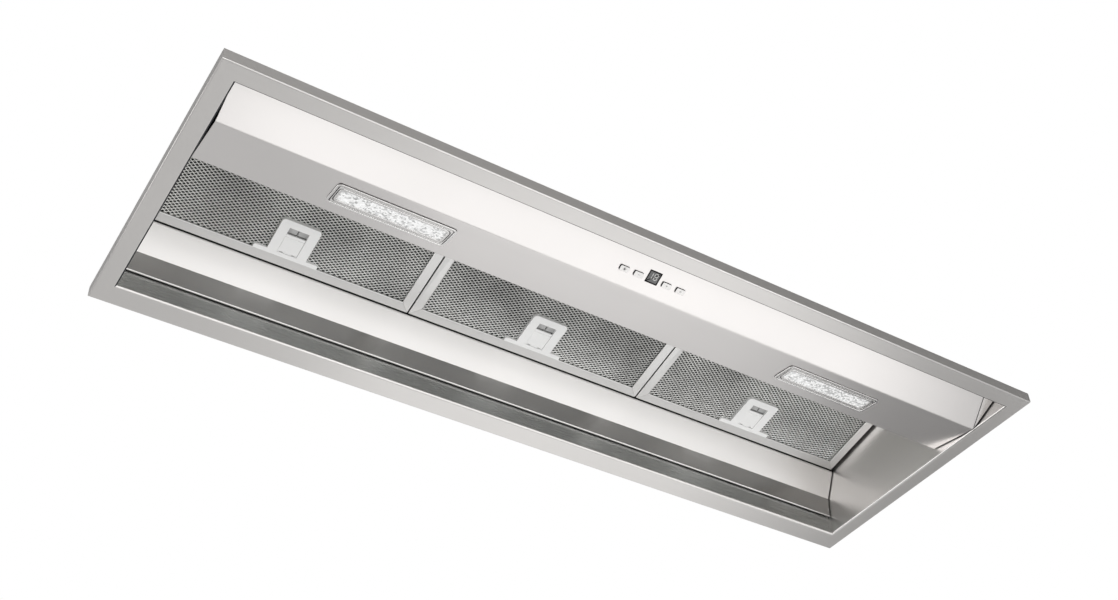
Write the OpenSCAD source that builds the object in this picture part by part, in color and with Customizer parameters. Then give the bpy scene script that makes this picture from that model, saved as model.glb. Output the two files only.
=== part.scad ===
// Range hood insert: a shallow steel tray that hangs in a cabinet and is seen from below.
// The origin is the middle of the flange's lower face. -Y is the front and +Z is up.
// A section is drawn as depth from the flange's front edge, and height above its lower face.

/* [Flange] */
// Width of the flange, left to right
flange_w = 1200; // [1100:10:1400]
// Depth of the flange, front to back
flange_d = 435; // [430:1:480]
// Width of the front flange
flange_front = 26; // [22:1:28]
// Width of the flange at each side
flange_side = 25; // [20:1:40]
// Width of the rear flange
flange_back = 35; // [25:1:40]
// Height of the turned-up skirt
skirt_h = 16.5; // [12:0.5:22]
// Thickness of the steel sheet
sheet_t = 1; // [0.8:0.1:1.2]

/* [Canopy] */
// Height of the canopy's flat top above the filters' front edges
plenum_h = 33; // [28:1:45]
// Height of the side panels' upper part, which leans inwards
lean_h = 37; // [30:1:42]
// Lean of the side panels' upper part, in for each unit up
lean_share = 0.24; // [0.2:0.01:0.25]
// Height of the upright part of the front panel
front_upright_h = 44; // [43:1:50]
// Slope of the front panel, back for each unit up
front_slope_share = 0.81; // [0.75:0.01:0.9]

/* [Light bar] */
// Depth of the control face, front to back
control_d = 61; // [58:1:64]
// Tilt of the control face
control_angle = 23.5; // [21:0.5:25]
// Depth of the light face, front to back
light_d = 76; // [70:1:80]
// Tilt of the light face
light_angle = 10; // [8:0.5:12]
// Height of the bar's lowest fold above the flange's lower face
bar_fold_z = 0.5; // [0.3:0.1:1]
// Height of the bar's upright front and rear legs
bar_leg_h = 14; // [10:1:16]
// Gap between the bar and each side panel
bar_end_gap = 1; // [0.5:0.1:2]

/* [Lights] */
// Distance from each end of the bar to the middle of its light
light_in = 238.5; // [180:0.5:270]
// Length of a light bezel
light_w = 158; // [140:1:180]
// Width of a light bezel
light_l = 41; // [36:1:46]
// Thickness of the bezel below the light face
bezel_t = 1.6; // [1.2:0.1:2]
// Height of the lamp housing above the collar
housing_h = 14; // [10:1:18]
// Number of chips on one light board
chips = 12; // [8:1:14]

/* [Controls] */
// Length of a button
button_w = 13; // [10:0.5:14]
// Width of a button
button_l = 7.3; // [6:0.1:9]
// Distance between neighbouring button places
button_pitch = 21.4; // [20:0.1:24]
// Distance from the fold to the middle of the buttons
button_s = 23.7; // [22:0.1:26]
// How far a button stands out of the control face
button_out = 2.2; // [1.6:0.1:2.6]
// Travel of a button
button_travel = 0.8; // [0.5:0.1:0.8]
// Length of the display window
display_w = 18.6; // [16:0.1:20]
// Width of the display window
display_l = 18; // [16:0.1:20]
// Distance from the fold to the middle of the display
display_s = 27.2; // [26:0.1:30]

/* [Filters] */
// Slope of the filters
filter_slope = 10.75; // [9:0.25:12]
// Height of the filters' lower rear edge
filter_rear_z = 103.44; // [98:0.02:106]
// Thickness of a filter
filter_t = 8; // [7:0.5:9]
// Width of a filter's rails
rail_w = 14; // [12:0.5:16]
// Gap between neighbouring filters
filter_gap = 2; // [1:0.5:3]
// Gap between the filters and each side panel
filter_end_gap = 4.5; // [4.5:0.5:6]
// Thickness of the mesh pack
mesh_t = 3.8; // [3:0.2:4]
// Width of a strand of the mesh
strand_w = 3; // [2:0.5:5]

/* [Latches] */
// Width of the latch plate
latch_w = 55; // [48:1:60]
// Length of the latch plate
latch_l = 52.8; // [50:0.2:56]
// Width of the latch foot
latch_foot_w = 91; // [80:1:100]
// Length of the latch foot
latch_foot_l = 6.8; // [5:0.2:8]
// How far the latch stands below the filter
latch_out = 1.2; // [0.8:0.1:1.6]
// Width of the slider
slider_w = 27.2; // [24:0.2:30]
// Length of the slider's face
slider_l = 26; // [24:0.5:26.5]
// Length of the finger lip on the slider
slider_lip = 4.4; // [3:0.2:4.4]
// Travel of the slider
slider_travel = 6; // [4:0.5:6]

/* [Rear baffle] */
// Height of the baffle's hemmed lower edge
baffle_hem_z = 31.1; // [25:0.1:40]
// Height of the fold between the band and the sloped panel
baffle_fold_z = 61.2; // [55:0.1:70]
// Distance from the rear wall to the hem
baffle_hem_back = 4.1; // [3.5:0.1:5]
// Distance from the rear wall to the fold
baffle_fold_back = 7.1; // [6:0.1:9]
// Distance from the rear wall to the upright behind the filters
baffle_face_back = 26.2; // [24:0.1:28]
// Diameter of the rolled hem
hem_d = 3; // [2.5:0.1:3.4]

/* [Blower] */
// Place of the impeller, left of the middle
impeller_x = 165; // [160:1:175]
// Radius of the impeller
impeller_r = 70; // [60:1:72]
// Height of the impeller
impeller_h = 44; // [38:1:46]
// Number of blades
blades = 24; // [16:1:36]
// Depth of the blower box
blower_d = 192; // [190:1:194]
// Height of the blower box
blower_h = 76; // [76:1:90]
// Radius of the motor
motor_r = 48; // [40:1:55]
// Outer radius of the round duct collar
collar_r = 75; // [62:0.5:76]
// Height of the duct collar
collar_h = 44; // [40:1:60]

/* [Hanging] */
// Distance from each end of the flange to the hanging holes
hang_in = 80; // [75:5:150]
// Radius of a hanging hole
hang_hole_r = 3.5; // [2.5:0.5:4]
// Height of a hanging bracket
bracket_h = 26; // [20:1:40]

/* [Hidden] */
$fn = 48;

// Overrun of every cut
cut = 1;
// Clearance between a moving piece and what it moves in
run_gap = 0.3;

// Inside of the tray
in_x = flange_w / 2 - flange_side;
rear_in = flange_d - flange_back;
rear_out = rear_in + sheet_t;

// Light bar
bar_wall_gap = 0.5;
bar_front_y = flange_front + bar_wall_gap;
fold_y = bar_front_y + control_d;
bar_back_y = fold_y + light_d;
bar_front_z = bar_fold_z + control_d * tan(control_angle);
bar_back_z = bar_fold_z + light_d * tan(light_angle);
bar_half_w = in_x - bar_end_gap;
bar_section = [
    [bar_front_y, bar_front_z + bar_leg_h], [bar_front_y, bar_front_z], [fold_y, bar_fold_z],
    [bar_back_y, bar_back_z], [bar_back_y, bar_back_z + bar_leg_h]
];
light_x = bar_half_w - light_in;
end_plate_inset = 6;
partition_y = bar_back_y - 2 * sheet_t;
partition_low_z = bar_back_z + sheet_t + run_gap;

// Lights, in the plane of the light face
light_s = light_d / cos(light_angle) / 2;
bezel_corner_r = 6;
bezel_lip = 9.5;
bezel_lip_t = 1;
collar_wall = 2.8;
bezel_overlap = 4;
lamp_hole_w = light_w - 2 * bezel_overlap;
lamp_hole_l = light_l - 2 * bezel_overlap;
lamp_hole_r = 3;
bezel_fit = 0.3;
lamp_collar_h = 8;
lens_t = 2;
led_board_t = 1.2;
chip_size = 3.5;
chip_t = 0.8;
fin_gap = 4;
fin_t = 2;

// Controls, in the plane of the control face
face_places = [-2, -1, 1, 2];
button_corner_r = 1.4;
button_fit = 0.35;
button_rim = 1.2;
button_rim_t = 0.9;
stem_r = 1.5;
stem_h = 2.8;
window_rim = 1.3;
window_t = 1.5;
window_fit = 0.15;
window_corner_r = 0.8;
board_w = 114;
board_l = 34;
board_t = 1.6;
board_z = 9.5;
switch_size = 6;
switch_h = 3.4;
digit_body_h = 6;
tray_rim = 6;
tray_t = 2;
tray_gap = 2.4;
post_r = 3;
standoff_r = 2.5;

// Filters, with local Y from the front edge to the rear edge and local Z square to the face
filter_w = (2 * in_x - 2 * filter_end_gap - 2 * filter_gap) / 3;
filter_front_gap = 4.7;
filter_rear_gap = 2.5;
filter_front_y = bar_back_y + filter_front_gap;
filter_rear_y = rear_in - baffle_face_back - filter_rear_gap;
filter_l = (filter_rear_y - filter_front_y) / cos(filter_slope);
filter_front_z = filter_rear_z + filter_l * sin(filter_slope);
ledge_t = 1.2;
pivot_in = 12;
pivot_below = ledge_t + run_gap;
pivot_y = filter_front_y + pivot_in * cos(filter_slope) - pivot_below * sin(filter_slope);
pivot_z = filter_front_z - pivot_in * sin(filter_slope) - pivot_below * cos(filter_slope);
mesh_raise = 0.5;
mesh_z = (filter_t - mesh_t) / 2 + mesh_raise;
mesh_seat = 9;
groove_fit = 0.2;
mesh_cols = 9;
mesh_rows = 11;
mesh_window_w = filter_w - 2 * rail_w;
mesh_window_l = filter_l - 2 * rail_w;
mesh_px = mesh_window_w / mesh_cols;
mesh_py = mesh_window_l / (mesh_rows + 1);

// Canopy, inside sizes
canopy_h = filter_front_z + plenum_h;
lean_start_h = canopy_h - lean_h;
lean_in = lean_share * lean_h;
front_top_y = flange_front + front_slope_share * (canopy_h - front_upright_h);
top_half_w = in_x - lean_in + sheet_t * sqrt(1 + lean_share * lean_share);
top_front_y = front_top_y - sheet_t * sqrt(1 + front_slope_share * front_slope_share);
roof_z = canopy_h + sheet_t;

// Latch, in the filter's own frame
latch_rear = filter_l - rail_w;
latch_plate_rear = latch_rear - latch_foot_l;
latch_plate_front = latch_plate_rear - latch_l;
latch_below = 1.6;
latch_top = filter_t - latch_below;
latch_corner_r = 5;
foot_corner_r = 3;
slider_fit = 0.35;
slider_guide = 2;
slider_face_z = -0.7;
slider_low_t = 2.1;
slider_rear = latch_plate_rear - slider_fit;
slider_front = slider_rear - slider_l;
slider_low_top = slider_face_z + slider_low_t;
guide_step = 1.2;
guide_z = slider_low_top + guide_step;
guide_t = 2.2;
tongue_w = 20;
tongue_out = 1.3;
pocket_ceiling = guide_z - slider_fit;
finger_room = 11.2;
pocket_front = slider_front - slider_lip - finger_room;
guide_front = slider_front - slider_travel - slider_fit;
spring_r = 1.9;
spring_wire = 0.5;
spring_seat = 2.6;
spring_fit = 0.3;
spring_z = guide_z + guide_t / 2;
notch_w = 4.6;
notch_l = 1.6;
notch_in = 3;

// Ledge under the filters' front edges and rest above their rear edges
ledge_leg_h = 24;
rest_t = 1.2;
rest_reach = 10;
rest_leg_h = 18;

// Rear baffle
baffle_end_gap = 1.5;
baffle_rise = 28;
baffle_top_z = filter_rear_z + baffle_rise;
baffle_face_y = rear_in - baffle_face_back;
knee_drop = 3.84;
baffle_knee_z = filter_rear_z - knee_drop;
slot_fit = 1.4;
baffle_section = [
    [rear_in, baffle_top_z], [baffle_face_y, baffle_top_z], [baffle_face_y, baffle_knee_z],
    [rear_in - baffle_fold_back, baffle_fold_z], [rear_in - baffle_hem_back, baffle_hem_z]
];

// Electrics
driver_size = [120, 24, 30];
driver_x = -180;
driver_z = 60;
duct_size = [660, 12, 12];
duct_wall = 1.2;
duct_z = 40;
jbox_size = [100, 70, 40];
jbox_x = 280;
jbox_y = 335;
jbox_wall = 1.5;
jbox_lid_t = 1.2;
jbox_screw_in = 4.6;
terminal_size = [54, 18, 16];
terminal_bar = 4;
terminals = 5;
terminal_pitch = 10;
terminal_r = 1.8;
gland_r = 11;
gland_thread_r = 8;
gland_bore_r = 4.5;
gland_l = 18;
gland_nut_l = 5;
cap_r = 17.5;
cap_h = 55;
cap_x = -330;
cap_y = 330;
stud_r = 4;
stud_l = 10;
nut_r = 7.5;
nut_h = 5;
nut_sides = 6;
terminal_tab = [6.3, 0.8, 8];
tab_apart = 12;

// Blower
blower_back_gap = 2;
blower_y = rear_in - blower_d / 2 - blower_back_gap;
blower_left = impeller_x + blower_d / 2;
box_past_collar = 20;
blower_right = collar_r + box_past_collar;
blower_top = roof_z + blower_h;
box_foot = 12;
inlet_inset = 12;
inlet_step = 4;
inlet_hole_r = impeller_r - inlet_inset;
inlet_throat_r = inlet_hole_r - inlet_step;
inlet_t = 1.2;
inlet_drop = 5;
inlet_rise = 7;
impeller_gap = 2;
impeller_z = roof_z + inlet_rise + impeller_gap;
impeller_plate_t = 2;
blade_l = 14;
blade_t = 1.2;
blade_angle = 35;
hub_r = 14;
hub_h = 14;
shaft_r = 4;
shaft_fit = 0.3;
shaft_in = 12;
shaft_below = 4;
motor_gap = 2;
bracket_t = 1.5;
bracket_w = 40;
bracket_l = 140;
scroll_t = 1.2;
scroll_gap = 6;
scroll_start = -40;
scroll_end = 270;
scroll_steps = 31;
scroll_side_gap = 1;

// Duct collar and damper
collar_t = 1;
collar_flange = 13;
stop_w = 4;
stop_h = 2;
stop_rise = 10;
stop_z = blower_top + stop_rise;
flap_t = 1;
flap_z = stop_z + stop_h + run_gap;
flap_fit = 1.5;
pin_r = 1.5;
pin_fit = 0.15;
pin_y = 5;
pin_z = flap_z + flap_t / 2;
pin_bite = 0.6;
knuckle_r = 3;
knuckle_end = 7;
knuckle_half = collar_r - knuckle_end;

// Hanging brackets
hang_x = flange_w - 2 * hang_in;
hang_back_gap = 5;
hang_front_gap = 3.5;
foot_l = 34;
tab_l = 30;
tab_w = 40;
tab_t = 3;
hang_front_y = partition_y + hang_front_gap + tab_w / 2;
hang_y = rear_in - hang_back_gap - tab_w / 2 - hang_front_y;
hang_mid_y = hang_front_y + hang_y / 2;

// Screws
screw_r = 2;
screw_fit = 0.1;
head_r = 3.8;
head_h = 2.2;
screw_l = 8;
foot_screw_apart = 24;

// A place measured from the flange's front edge, as a Y of the part
function fy(v) = v - flange_d / 2;
function left_of(a, b) = [a[1] - b[1], b[0] - a[0]] / norm(b - a);
function offset_point(p, i, t) =
    i == 0 ? p[0] + t * left_of(p[0], p[1]) :
    i == len(p) - 1 ? p[i] + t * left_of(p[i - 1], p[i]) :
    let (a = left_of(p[i - 1], p[i]), b = left_of(p[i], p[i + 1])) p[i] + t * (a + b) / (1 + a * b);

// A sheet folded along a line of points, with its thickness on the line's left
module folded(points, t) {
    folded_part(points, t, 0, len(points) - 1);
}

// The stretch of such a sheet between two of its points
module folded_part(points, t, first, last) {
    polygon(concat(
        [for (i = [first : last]) points[i]], [for (i = [last : -1 : first]) offset_point(points, i, t)]));
}

// A section in depth and height, run along X
module along_x(w) {
    translate([0, fy(0), 0]) rotate([90, 0, 90]) linear_extrude(w, center = true) children();
}

// A section in width and height, run along the whole depth
module along_y() {
    translate([0, fy(flange_d), 0]) rotate([90, 0, 0]) linear_extrude(flange_d) children();
}

module rounded_rect(w, l, r) {
    square([w - 2 * r, l], center = true);
    square([w, l - 2 * r], center = true);
    for (x = [-1, 1], y = [-1, 1]) translate([x * (w / 2 - r), y * (l / 2 - r)]) circle(r);
}

module slab(w, l, r, z0, z1) {
    translate([0, 0, z0]) linear_extrude(z1 - z0) rounded_rect(w, l, r);
}

module block(w, y0, y1, z0, z1) {
    translate([-w / 2, y0, z0]) cube([w, y1 - y0, z1 - z0]);
}

module ring(r_out, r_in, z0, z1) {
    translate([0, 0, z0]) difference() {
        cylinder(z1 - z0, r = r_out);
        translate([0, 0, -cut]) cylinder(z1 - z0 + 2 * cut, r = r_in);
    }
}

module on_control_face(x, s) {
    translate([x, fy(fold_y), bar_fold_z]) rotate([-control_angle, 0, 0]) translate([0, -s, 0]) children();
}

module on_light_face(x, s) {
    translate([x, fy(fold_y), bar_fold_z]) rotate([light_angle, 0, 0]) translate([0, s, 0]) children();
}

module on_filter(place) {
    translate([place * (filter_w + filter_gap), fy(filter_front_y), filter_front_z])
        rotate([-filter_slope, 0, 0]) children();
}

// Canopy
module canopy_outline() {
    side = [[in_x - lean_in, canopy_h], [in_x, lean_start_h], [in_x, sheet_t]];
    right = [for (i = [0 : 2]) offset_point(side, i, sheet_t)];
    left = [for (i = [2 : -1 : 0]) [-right[i][0], right[i][1]]];
    intersection() {
        polygon(concat(right, left));
        translate([-flange_w / 2, 0]) square([flange_w, canopy_h]);
    }
}

module flange_frame() {
    color("silver") difference() {
        block(flange_w, fy(0), fy(flange_d), 0, skirt_h);
        block(flange_w - 2 * sheet_t, fy(sheet_t), fy(flange_d - sheet_t), sheet_t, skirt_h + cut);
        block(2 * in_x, fy(flange_front), fy(rear_in), -cut, skirt_h);
    }
}

module side_panel(side) {
    color("lightgray") mirror([side < 0 ? 1 : 0, 0, 0]) intersection() {
        along_y() folded([[in_x - lean_in, canopy_h], [in_x, lean_start_h], [in_x, sheet_t]], sheet_t);
        along_x(flange_w) polygon([
            [flange_front, sheet_t], [flange_front, front_upright_h], [front_top_y, canopy_h],
            [rear_in, canopy_h], [rear_in, sheet_t]
        ]);
    }
}

module front_panel() {
    color("lightgray") intersection() {
        along_x(flange_w) folded([
            [flange_front, sheet_t], [flange_front, front_upright_h], [front_top_y, canopy_h]
        ], sheet_t);
        along_y() canopy_outline();
    }
}

module rear_wall() {
    color("lightgray") intersection() {
        block(flange_w, fy(rear_in), fy(rear_out), sheet_t, canopy_h);
        along_y() canopy_outline();
    }
}

module canopy_top() {
    color("lightgray") difference() {
        block(2 * top_half_w, fy(top_front_y), fy(rear_out), canopy_h, roof_z);
        translate([-impeller_x, fy(blower_y), canopy_h - cut]) cylinder(sheet_t + 2 * cut, r = inlet_hole_r);
        translate([cap_x, fy(cap_y), canopy_h - cut]) cylinder(sheet_t + 2 * cut, r = stud_r + screw_fit);
        roof_screw_places() screw_hole();
    }
}

// Light bar
module lamp_hole() {
    slab(lamp_hole_w, lamp_hole_l, lamp_hole_r, -cut, sheet_t + cut);
}

module light_bar() {
    color("gainsboro") difference() {
        along_x(2 * bar_half_w) folded(bar_section, sheet_t);
        for (x = [-light_x, light_x]) on_light_face(x, light_s) lamp_hole();
        for (i = face_places) on_control_face(i * button_pitch, button_s)
            slab(button_w + 2 * button_fit, button_l + 2 * button_fit, button_corner_r, -cut, sheet_t + cut);
        on_control_face(0, display_s)
            slab(display_w, display_l, window_corner_r, -cut, sheet_t + cut);
    }
}

// Plates that stiffen the bar's ends, under its front and rear legs
module bar_end_plates() {
    inner = [for (i = [0 : len(bar_section) - 1]) offset_point(bar_section, i, sheet_t)];
    color("lightgray") for (x = [-1, 1])
        translate([x * (bar_half_w - end_plate_inset), 0, 0]) along_x(sheet_t) difference() {
            polygon(inner);
            translate([partition_y - run_gap, partition_low_z - run_gap]) square([bar_leg_h, bar_leg_h]);
        }
}

module partition() {
    top_half = bar_half_w - lean_in;
    color("lightgray") translate([0, fy(partition_y + sheet_t), 0]) rotate([90, 0, 0]) linear_extrude(sheet_t)
        polygon([
            [-bar_half_w, partition_low_z], [bar_half_w, partition_low_z], [bar_half_w, lean_start_h],
            [top_half, canopy_h], [-top_half, canopy_h], [-bar_half_w, lean_start_h]
        ]);
}

// Folded strip whose rolled edge the filters hang on and turn round
module filter_ledge() {
    leg_y = partition_y + sheet_t;
    bend_z = pivot_z + (pivot_y - leg_y) * tan(filter_slope);
    lean = lean_share * (filter_front_z + filter_t - lean_start_h);
    color("darkgray") along_x(2 * (bar_half_w - lean)) {
        folded([[pivot_y, pivot_z], [leg_y, bend_z], [leg_y, bend_z - ledge_leg_h]], ledge_t);
        translate([pivot_y, pivot_z]) circle(ledge_t);
    }
}

// Rear baffle
module tongue_slot(place) {
    on_filter(place) block(
        tongue_w + 2 * slot_fit, filter_l - cut, filter_l + rail_w,
        guide_z - slot_fit, guide_z + guide_t + slot_fit);
}

module rear_baffle() {
    color("whitesmoke") difference() {
        along_x(2 * (in_x - baffle_end_gap)) folded_part(baffle_section, sheet_t, 0, 3);
        for (i = [-1 : 1]) tongue_slot(i);
    }
}

// Strip under the sloped panel, with its rolled edge
module baffle_strip() {
    color("gray") along_x(2 * (in_x - baffle_end_gap)) {
        folded_part(baffle_section, sheet_t, 3, 4);
        translate([rear_in - baffle_hem_back + sheet_t / 2, baffle_hem_z]) circle(d = hem_d);
    }
}

// Angle on the baffle that the filters' rear rails meet from below
module rear_filter_rest() {
    top = filter_t + run_gap;
    face_z = filter_rear_z + top / cos(filter_slope) - filter_rear_gap * tan(filter_slope);
    color("darkgray") along_x(2 * (in_x - baffle_end_gap)) folded([
        [baffle_face_y, face_z + rest_leg_h], [baffle_face_y, face_z],
        [baffle_face_y - rest_reach, face_z + rest_reach * tan(filter_slope)]
    ], -rest_t);
}

// Filters
module filter_frame(place) {
    color("lightgray") on_filter(place) difference() {
        block(filter_w, 0, filter_l, 0, filter_t);
        block(mesh_window_w, rail_w, filter_l - rail_w, -cut, filter_t + cut);
        block(mesh_window_w + 2 * mesh_seat + 2 * groove_fit, rail_w - mesh_seat - groove_fit,
            filter_l - rail_w + mesh_seat + groove_fit, mesh_z - groove_fit, mesh_z + mesh_t + groove_fit);
        block(tongue_w + 2 * slider_fit, filter_l - rail_w - cut, filter_l + cut,
            guide_z - slider_fit, guide_z + guide_t + slider_fit);
    }
}

// One opening of the mesh
module mesh_gap() {
    polygon([
        [-mesh_px / 2 + strand_w, 0], [0, -mesh_py + strand_w], [mesh_px / 2 - strand_w, 0],
        [0, mesh_py - strand_w]
    ]);
}

module mesh_gaps() {
    for (row = [1 : mesh_rows]) {
        odd = row % 2;
        count = mesh_cols - 1 + odd;
        for (col = [0 : count - 1])
            translate([(col - (count - 1) / 2) * mesh_px, rail_w + row * mesh_py]) mesh_gap();
    }
}

module filter_mesh(place) {
    color("gray") on_filter(place) translate([0, 0, mesh_z]) linear_extrude(mesh_t) difference() {
        translate([-mesh_window_w / 2 - mesh_seat, rail_w - mesh_seat])
            square([mesh_window_w + 2 * mesh_seat, mesh_window_l + 2 * mesh_seat]);
        difference() {
            mesh_gaps();
            translate([-latch_foot_w / 2, latch_plate_front - strand_w])
                square([latch_foot_w, filter_l]);
        }
        translate([-latch_w / 2, latch_plate_front]) square([latch_w, latch_l]);
        translate([-tongue_w / 2 - slider_fit, latch_plate_front])
            square([tongue_w + 2 * slider_fit, filter_l]);
    }
}

// Latches
module latch_plate_outline() {
    hull_y = latch_plate_front + latch_corner_r;
    translate([-latch_w / 2, hull_y]) square([latch_w, latch_plate_rear - hull_y]);
    translate([-latch_w / 2 + latch_corner_r, latch_plate_front])
        square([latch_w - 2 * latch_corner_r, latch_corner_r]);
    for (x = [-1, 1]) translate([x * (latch_w / 2 - latch_corner_r), hull_y]) circle(latch_corner_r);
}

module latch_foot_outline() {
    translate([-latch_foot_w / 2, latch_plate_rear + foot_corner_r])
        square([latch_foot_w, latch_foot_l - foot_corner_r]);
    translate([-latch_foot_w / 2 + foot_corner_r, latch_plate_rear])
        square([latch_foot_w - 2 * foot_corner_r, foot_corner_r]);
    for (x = [-1, 1])
        translate([x * (latch_foot_w / 2 - foot_corner_r), latch_plate_rear + foot_corner_r])
            circle(foot_corner_r);
}

module latch_body(place) {
    guide_half = slider_w + 2 * slider_guide + 2 * slider_fit;
    color("whitesmoke") on_filter(place) difference() {
        union() {
            translate([0, 0, -latch_out]) linear_extrude(latch_out + latch_top) latch_plate_outline();
            translate([0, 0, -latch_out]) linear_extrude(latch_out + mesh_z) latch_foot_outline();
        }
        block(slider_w + 2 * slider_fit, pocket_front, slider_rear + slider_fit,
            -latch_out - cut, slider_low_top + slider_fit);
        block(slider_w + 2 * slider_fit, guide_front, slider_rear + slider_fit,
            slider_low_top, pocket_ceiling + slider_fit);
        block(guide_half, guide_front, latch_plate_rear + cut,
            pocket_ceiling, guide_z + guide_t + slider_fit);
        translate([0, latch_plate_front + spring_seat, spring_z]) rotate([-90, 0, 0])
            cylinder(slider_front - latch_plate_front - spring_seat, r = spring_r + spring_fit);
    }
}

module latch_slider(place) {
    color("white") on_filter(place) difference() {
        union() {
            block(slider_w, slider_front - slider_lip, slider_rear, slider_face_z, slider_low_top);
            block(slider_w, slider_front, slider_rear, slider_low_top, guide_z);
            block(slider_w + 2 * slider_guide, slider_front, slider_rear, guide_z, guide_z + guide_t);
            block(tongue_w, slider_front, filter_l + tongue_out, guide_z, guide_z + guide_t);
        }
        for (x = [-1, 1]) translate([x * (slider_w / 2 - notch_w / 2 - notch_in), 0, 0])
            block(notch_w, slider_rear - notch_l, slider_rear + cut, slider_face_z - cut, slider_low_top);
    }
}

module latch_spring(place) {
    spring_front = latch_plate_front + spring_seat;
    color("silver") on_filter(place) translate([0, spring_front, spring_z]) rotate([-90, 0, 0])
        ring(spring_r, spring_r - spring_wire, 0, slider_front - spring_front - slider_fit);
}

// Lights
module light_bezel(x) {
    collar_w = lamp_hole_w - 2 * bezel_fit;
    collar_l = lamp_hole_l - 2 * bezel_fit;
    color("silver") on_light_face(x, light_s) difference() {
        union() {
            slab(light_w, light_l, bezel_corner_r, -bezel_t, 0);
            slab(collar_w, collar_l, lamp_hole_r, 0, lamp_collar_h);
        }
        slab(light_w - 2 * bezel_lip, light_l - 2 * bezel_lip, lamp_hole_r, -bezel_t - cut, 0);
        slab(collar_w - 2 * collar_wall, collar_l - 2 * collar_wall, lamp_hole_r,
            bezel_lip_t - bezel_t, lamp_collar_h + cut);
    }
}

module in_lamp(z0, z1) {
    slab(lamp_hole_w - 4 * bezel_fit - 2 * collar_wall, lamp_hole_l - 4 * bezel_fit - 2 * collar_wall,
        lamp_hole_r, z0, z1);
}

module light_lens(x) {
    color("aliceblue") on_light_face(x, light_s) in_lamp(bezel_lip_t - bezel_t, bezel_lip_t - bezel_t + lens_t);
}

module led_boards() {
    board_low = lamp_collar_h - led_board_t;
    pitch = (lamp_hole_w - 2 * collar_wall) / (chips + 1);
    color("ivory") for (x = [-light_x, light_x]) on_light_face(x, light_s) {
        in_lamp(board_low, lamp_collar_h);
        for (i = [0 : chips - 1]) translate([(i - (chips - 1) / 2) * pitch, 0, 0])
            block(chip_size, -chip_size / 2, chip_size / 2, board_low - chip_t, board_low);
    }
}

module light_housings() {
    w = lamp_hole_w - 2 * bezel_fit;
    l = lamp_hole_l - 2 * bezel_fit;
    color("dimgray") for (x = [-light_x, light_x]) on_light_face(x, light_s) difference() {
        slab(w, l, lamp_hole_r, lamp_collar_h, lamp_collar_h + housing_h);
        for (y = [-l / 2 + fin_t + fin_gap / 2 : fin_t + fin_gap : l / 2 - fin_t])
            block(w + cut, y - fin_gap / 2, y + fin_gap / 2,
                lamp_collar_h + housing_h / 2, lamp_collar_h + housing_h + cut);
    }
}

// Controls
module button(place) {
    rim_z = sheet_t + run_gap;
    color("silver") on_control_face(place * button_pitch, button_s) {
        slab(button_w, button_l, button_corner_r, -button_out, rim_z);
        slab(button_w + 2 * button_rim, button_l + 2 * button_rim, button_corner_r, rim_z, rim_z + button_rim_t);
        translate([0, 0, rim_z + button_rim_t]) cylinder(stem_h, r = stem_r);
    }
}

module display_window() {
    color("dimgray") on_control_face(0, display_s) {
        slab(display_w - 2 * window_fit, display_l - 2 * window_fit, window_corner_r, 0, sheet_t);
        slab(display_w + 2 * window_rim, display_l + 2 * window_rim, window_corner_r,
            sheet_t, sheet_t + window_t);
    }
}

module control_board() {
    color("darkgreen") on_control_face(0, display_s) slab(board_w, board_l, window_rim, board_z, board_z + board_t);
    color("black") for (i = face_places) on_control_face(i * button_pitch, button_s)
        block(switch_size, -switch_size / 2, switch_size / 2, board_z - switch_h, board_z);
    color("black") on_control_face(0, display_s)
        block(display_w, -display_l / 2, display_l / 2, board_z - digit_body_h, board_z);
}

module board_tray() {
    tray_low = board_z + board_t + tray_gap;
    tray_w = board_w + 4 * tray_rim;
    tray_l = board_l + 2 * tray_rim;
    color("dimgray") on_control_face(0, display_s) {
        slab(tray_w, tray_l, post_r, tray_low, tray_low + tray_t);
        for (x = [-1, 1], y = [-1, 1]) {
            translate([x * (tray_w / 2 - post_r), y * (tray_l / 2 - post_r), sheet_t])
                cylinder(tray_low - sheet_t, r = post_r);
            translate([x * (board_w / 2 - tray_rim), y * (board_l / 2 - tray_rim), board_z + board_t])
                cylinder(tray_gap, r = standoff_r);
        }
    }
}

// Electrics
module led_driver() {
    color("white") translate([driver_x, fy(partition_y) - driver_size[1], driver_z]) difference() {
        cube(driver_size);
        translate([-cut, -cut, driver_size[2] / 3])
            cube([driver_size[1] / 2 + cut, driver_size[1] / 2 + cut, driver_size[2]]);
    }
}

module wiring_duct() {
    color("gray") difference() {
        block(duct_size[0], fy(partition_y) - duct_size[1], fy(partition_y), duct_z, duct_z + duct_size[2]);
        block(duct_size[0] + 2 * cut, fy(partition_y) - duct_size[1] + duct_wall, fy(partition_y) - duct_wall,
            duct_z + duct_wall, duct_z + duct_size[2] - duct_wall);
    }
}

module on_jbox() {
    translate([jbox_x, fy(jbox_y), roof_z]) children();
}

module junction_box() {
    color("gainsboro") on_jbox() difference() {
        union() {
            difference() {
                block(jbox_size[0], -jbox_size[1] / 2, jbox_size[1] / 2, 0, jbox_size[2]);
                block(jbox_size[0] - 2 * jbox_wall, -jbox_size[1] / 2 + jbox_wall, jbox_size[1] / 2 - jbox_wall,
                    jbox_wall, jbox_size[2] + cut);
            }
            lid_screw_places() translate([0, 0, -jbox_size[2] - jbox_lid_t]) cylinder(jbox_size[2], r = head_r);
        }
        lid_screw_places() screw_hole();
        translate([0, 0, jbox_size[2] / 2]) rotate([0, 90, 0]) cylinder(jbox_size[0], r = gland_thread_r + screw_fit);
    }
}

module junction_cover() {
    color("lightgray") on_jbox() difference() {
        block(jbox_size[0], -jbox_size[1] / 2, jbox_size[1] / 2, jbox_size[2], jbox_size[2] + jbox_lid_t);
        lid_screw_places() screw_hole();
    }
}

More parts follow.
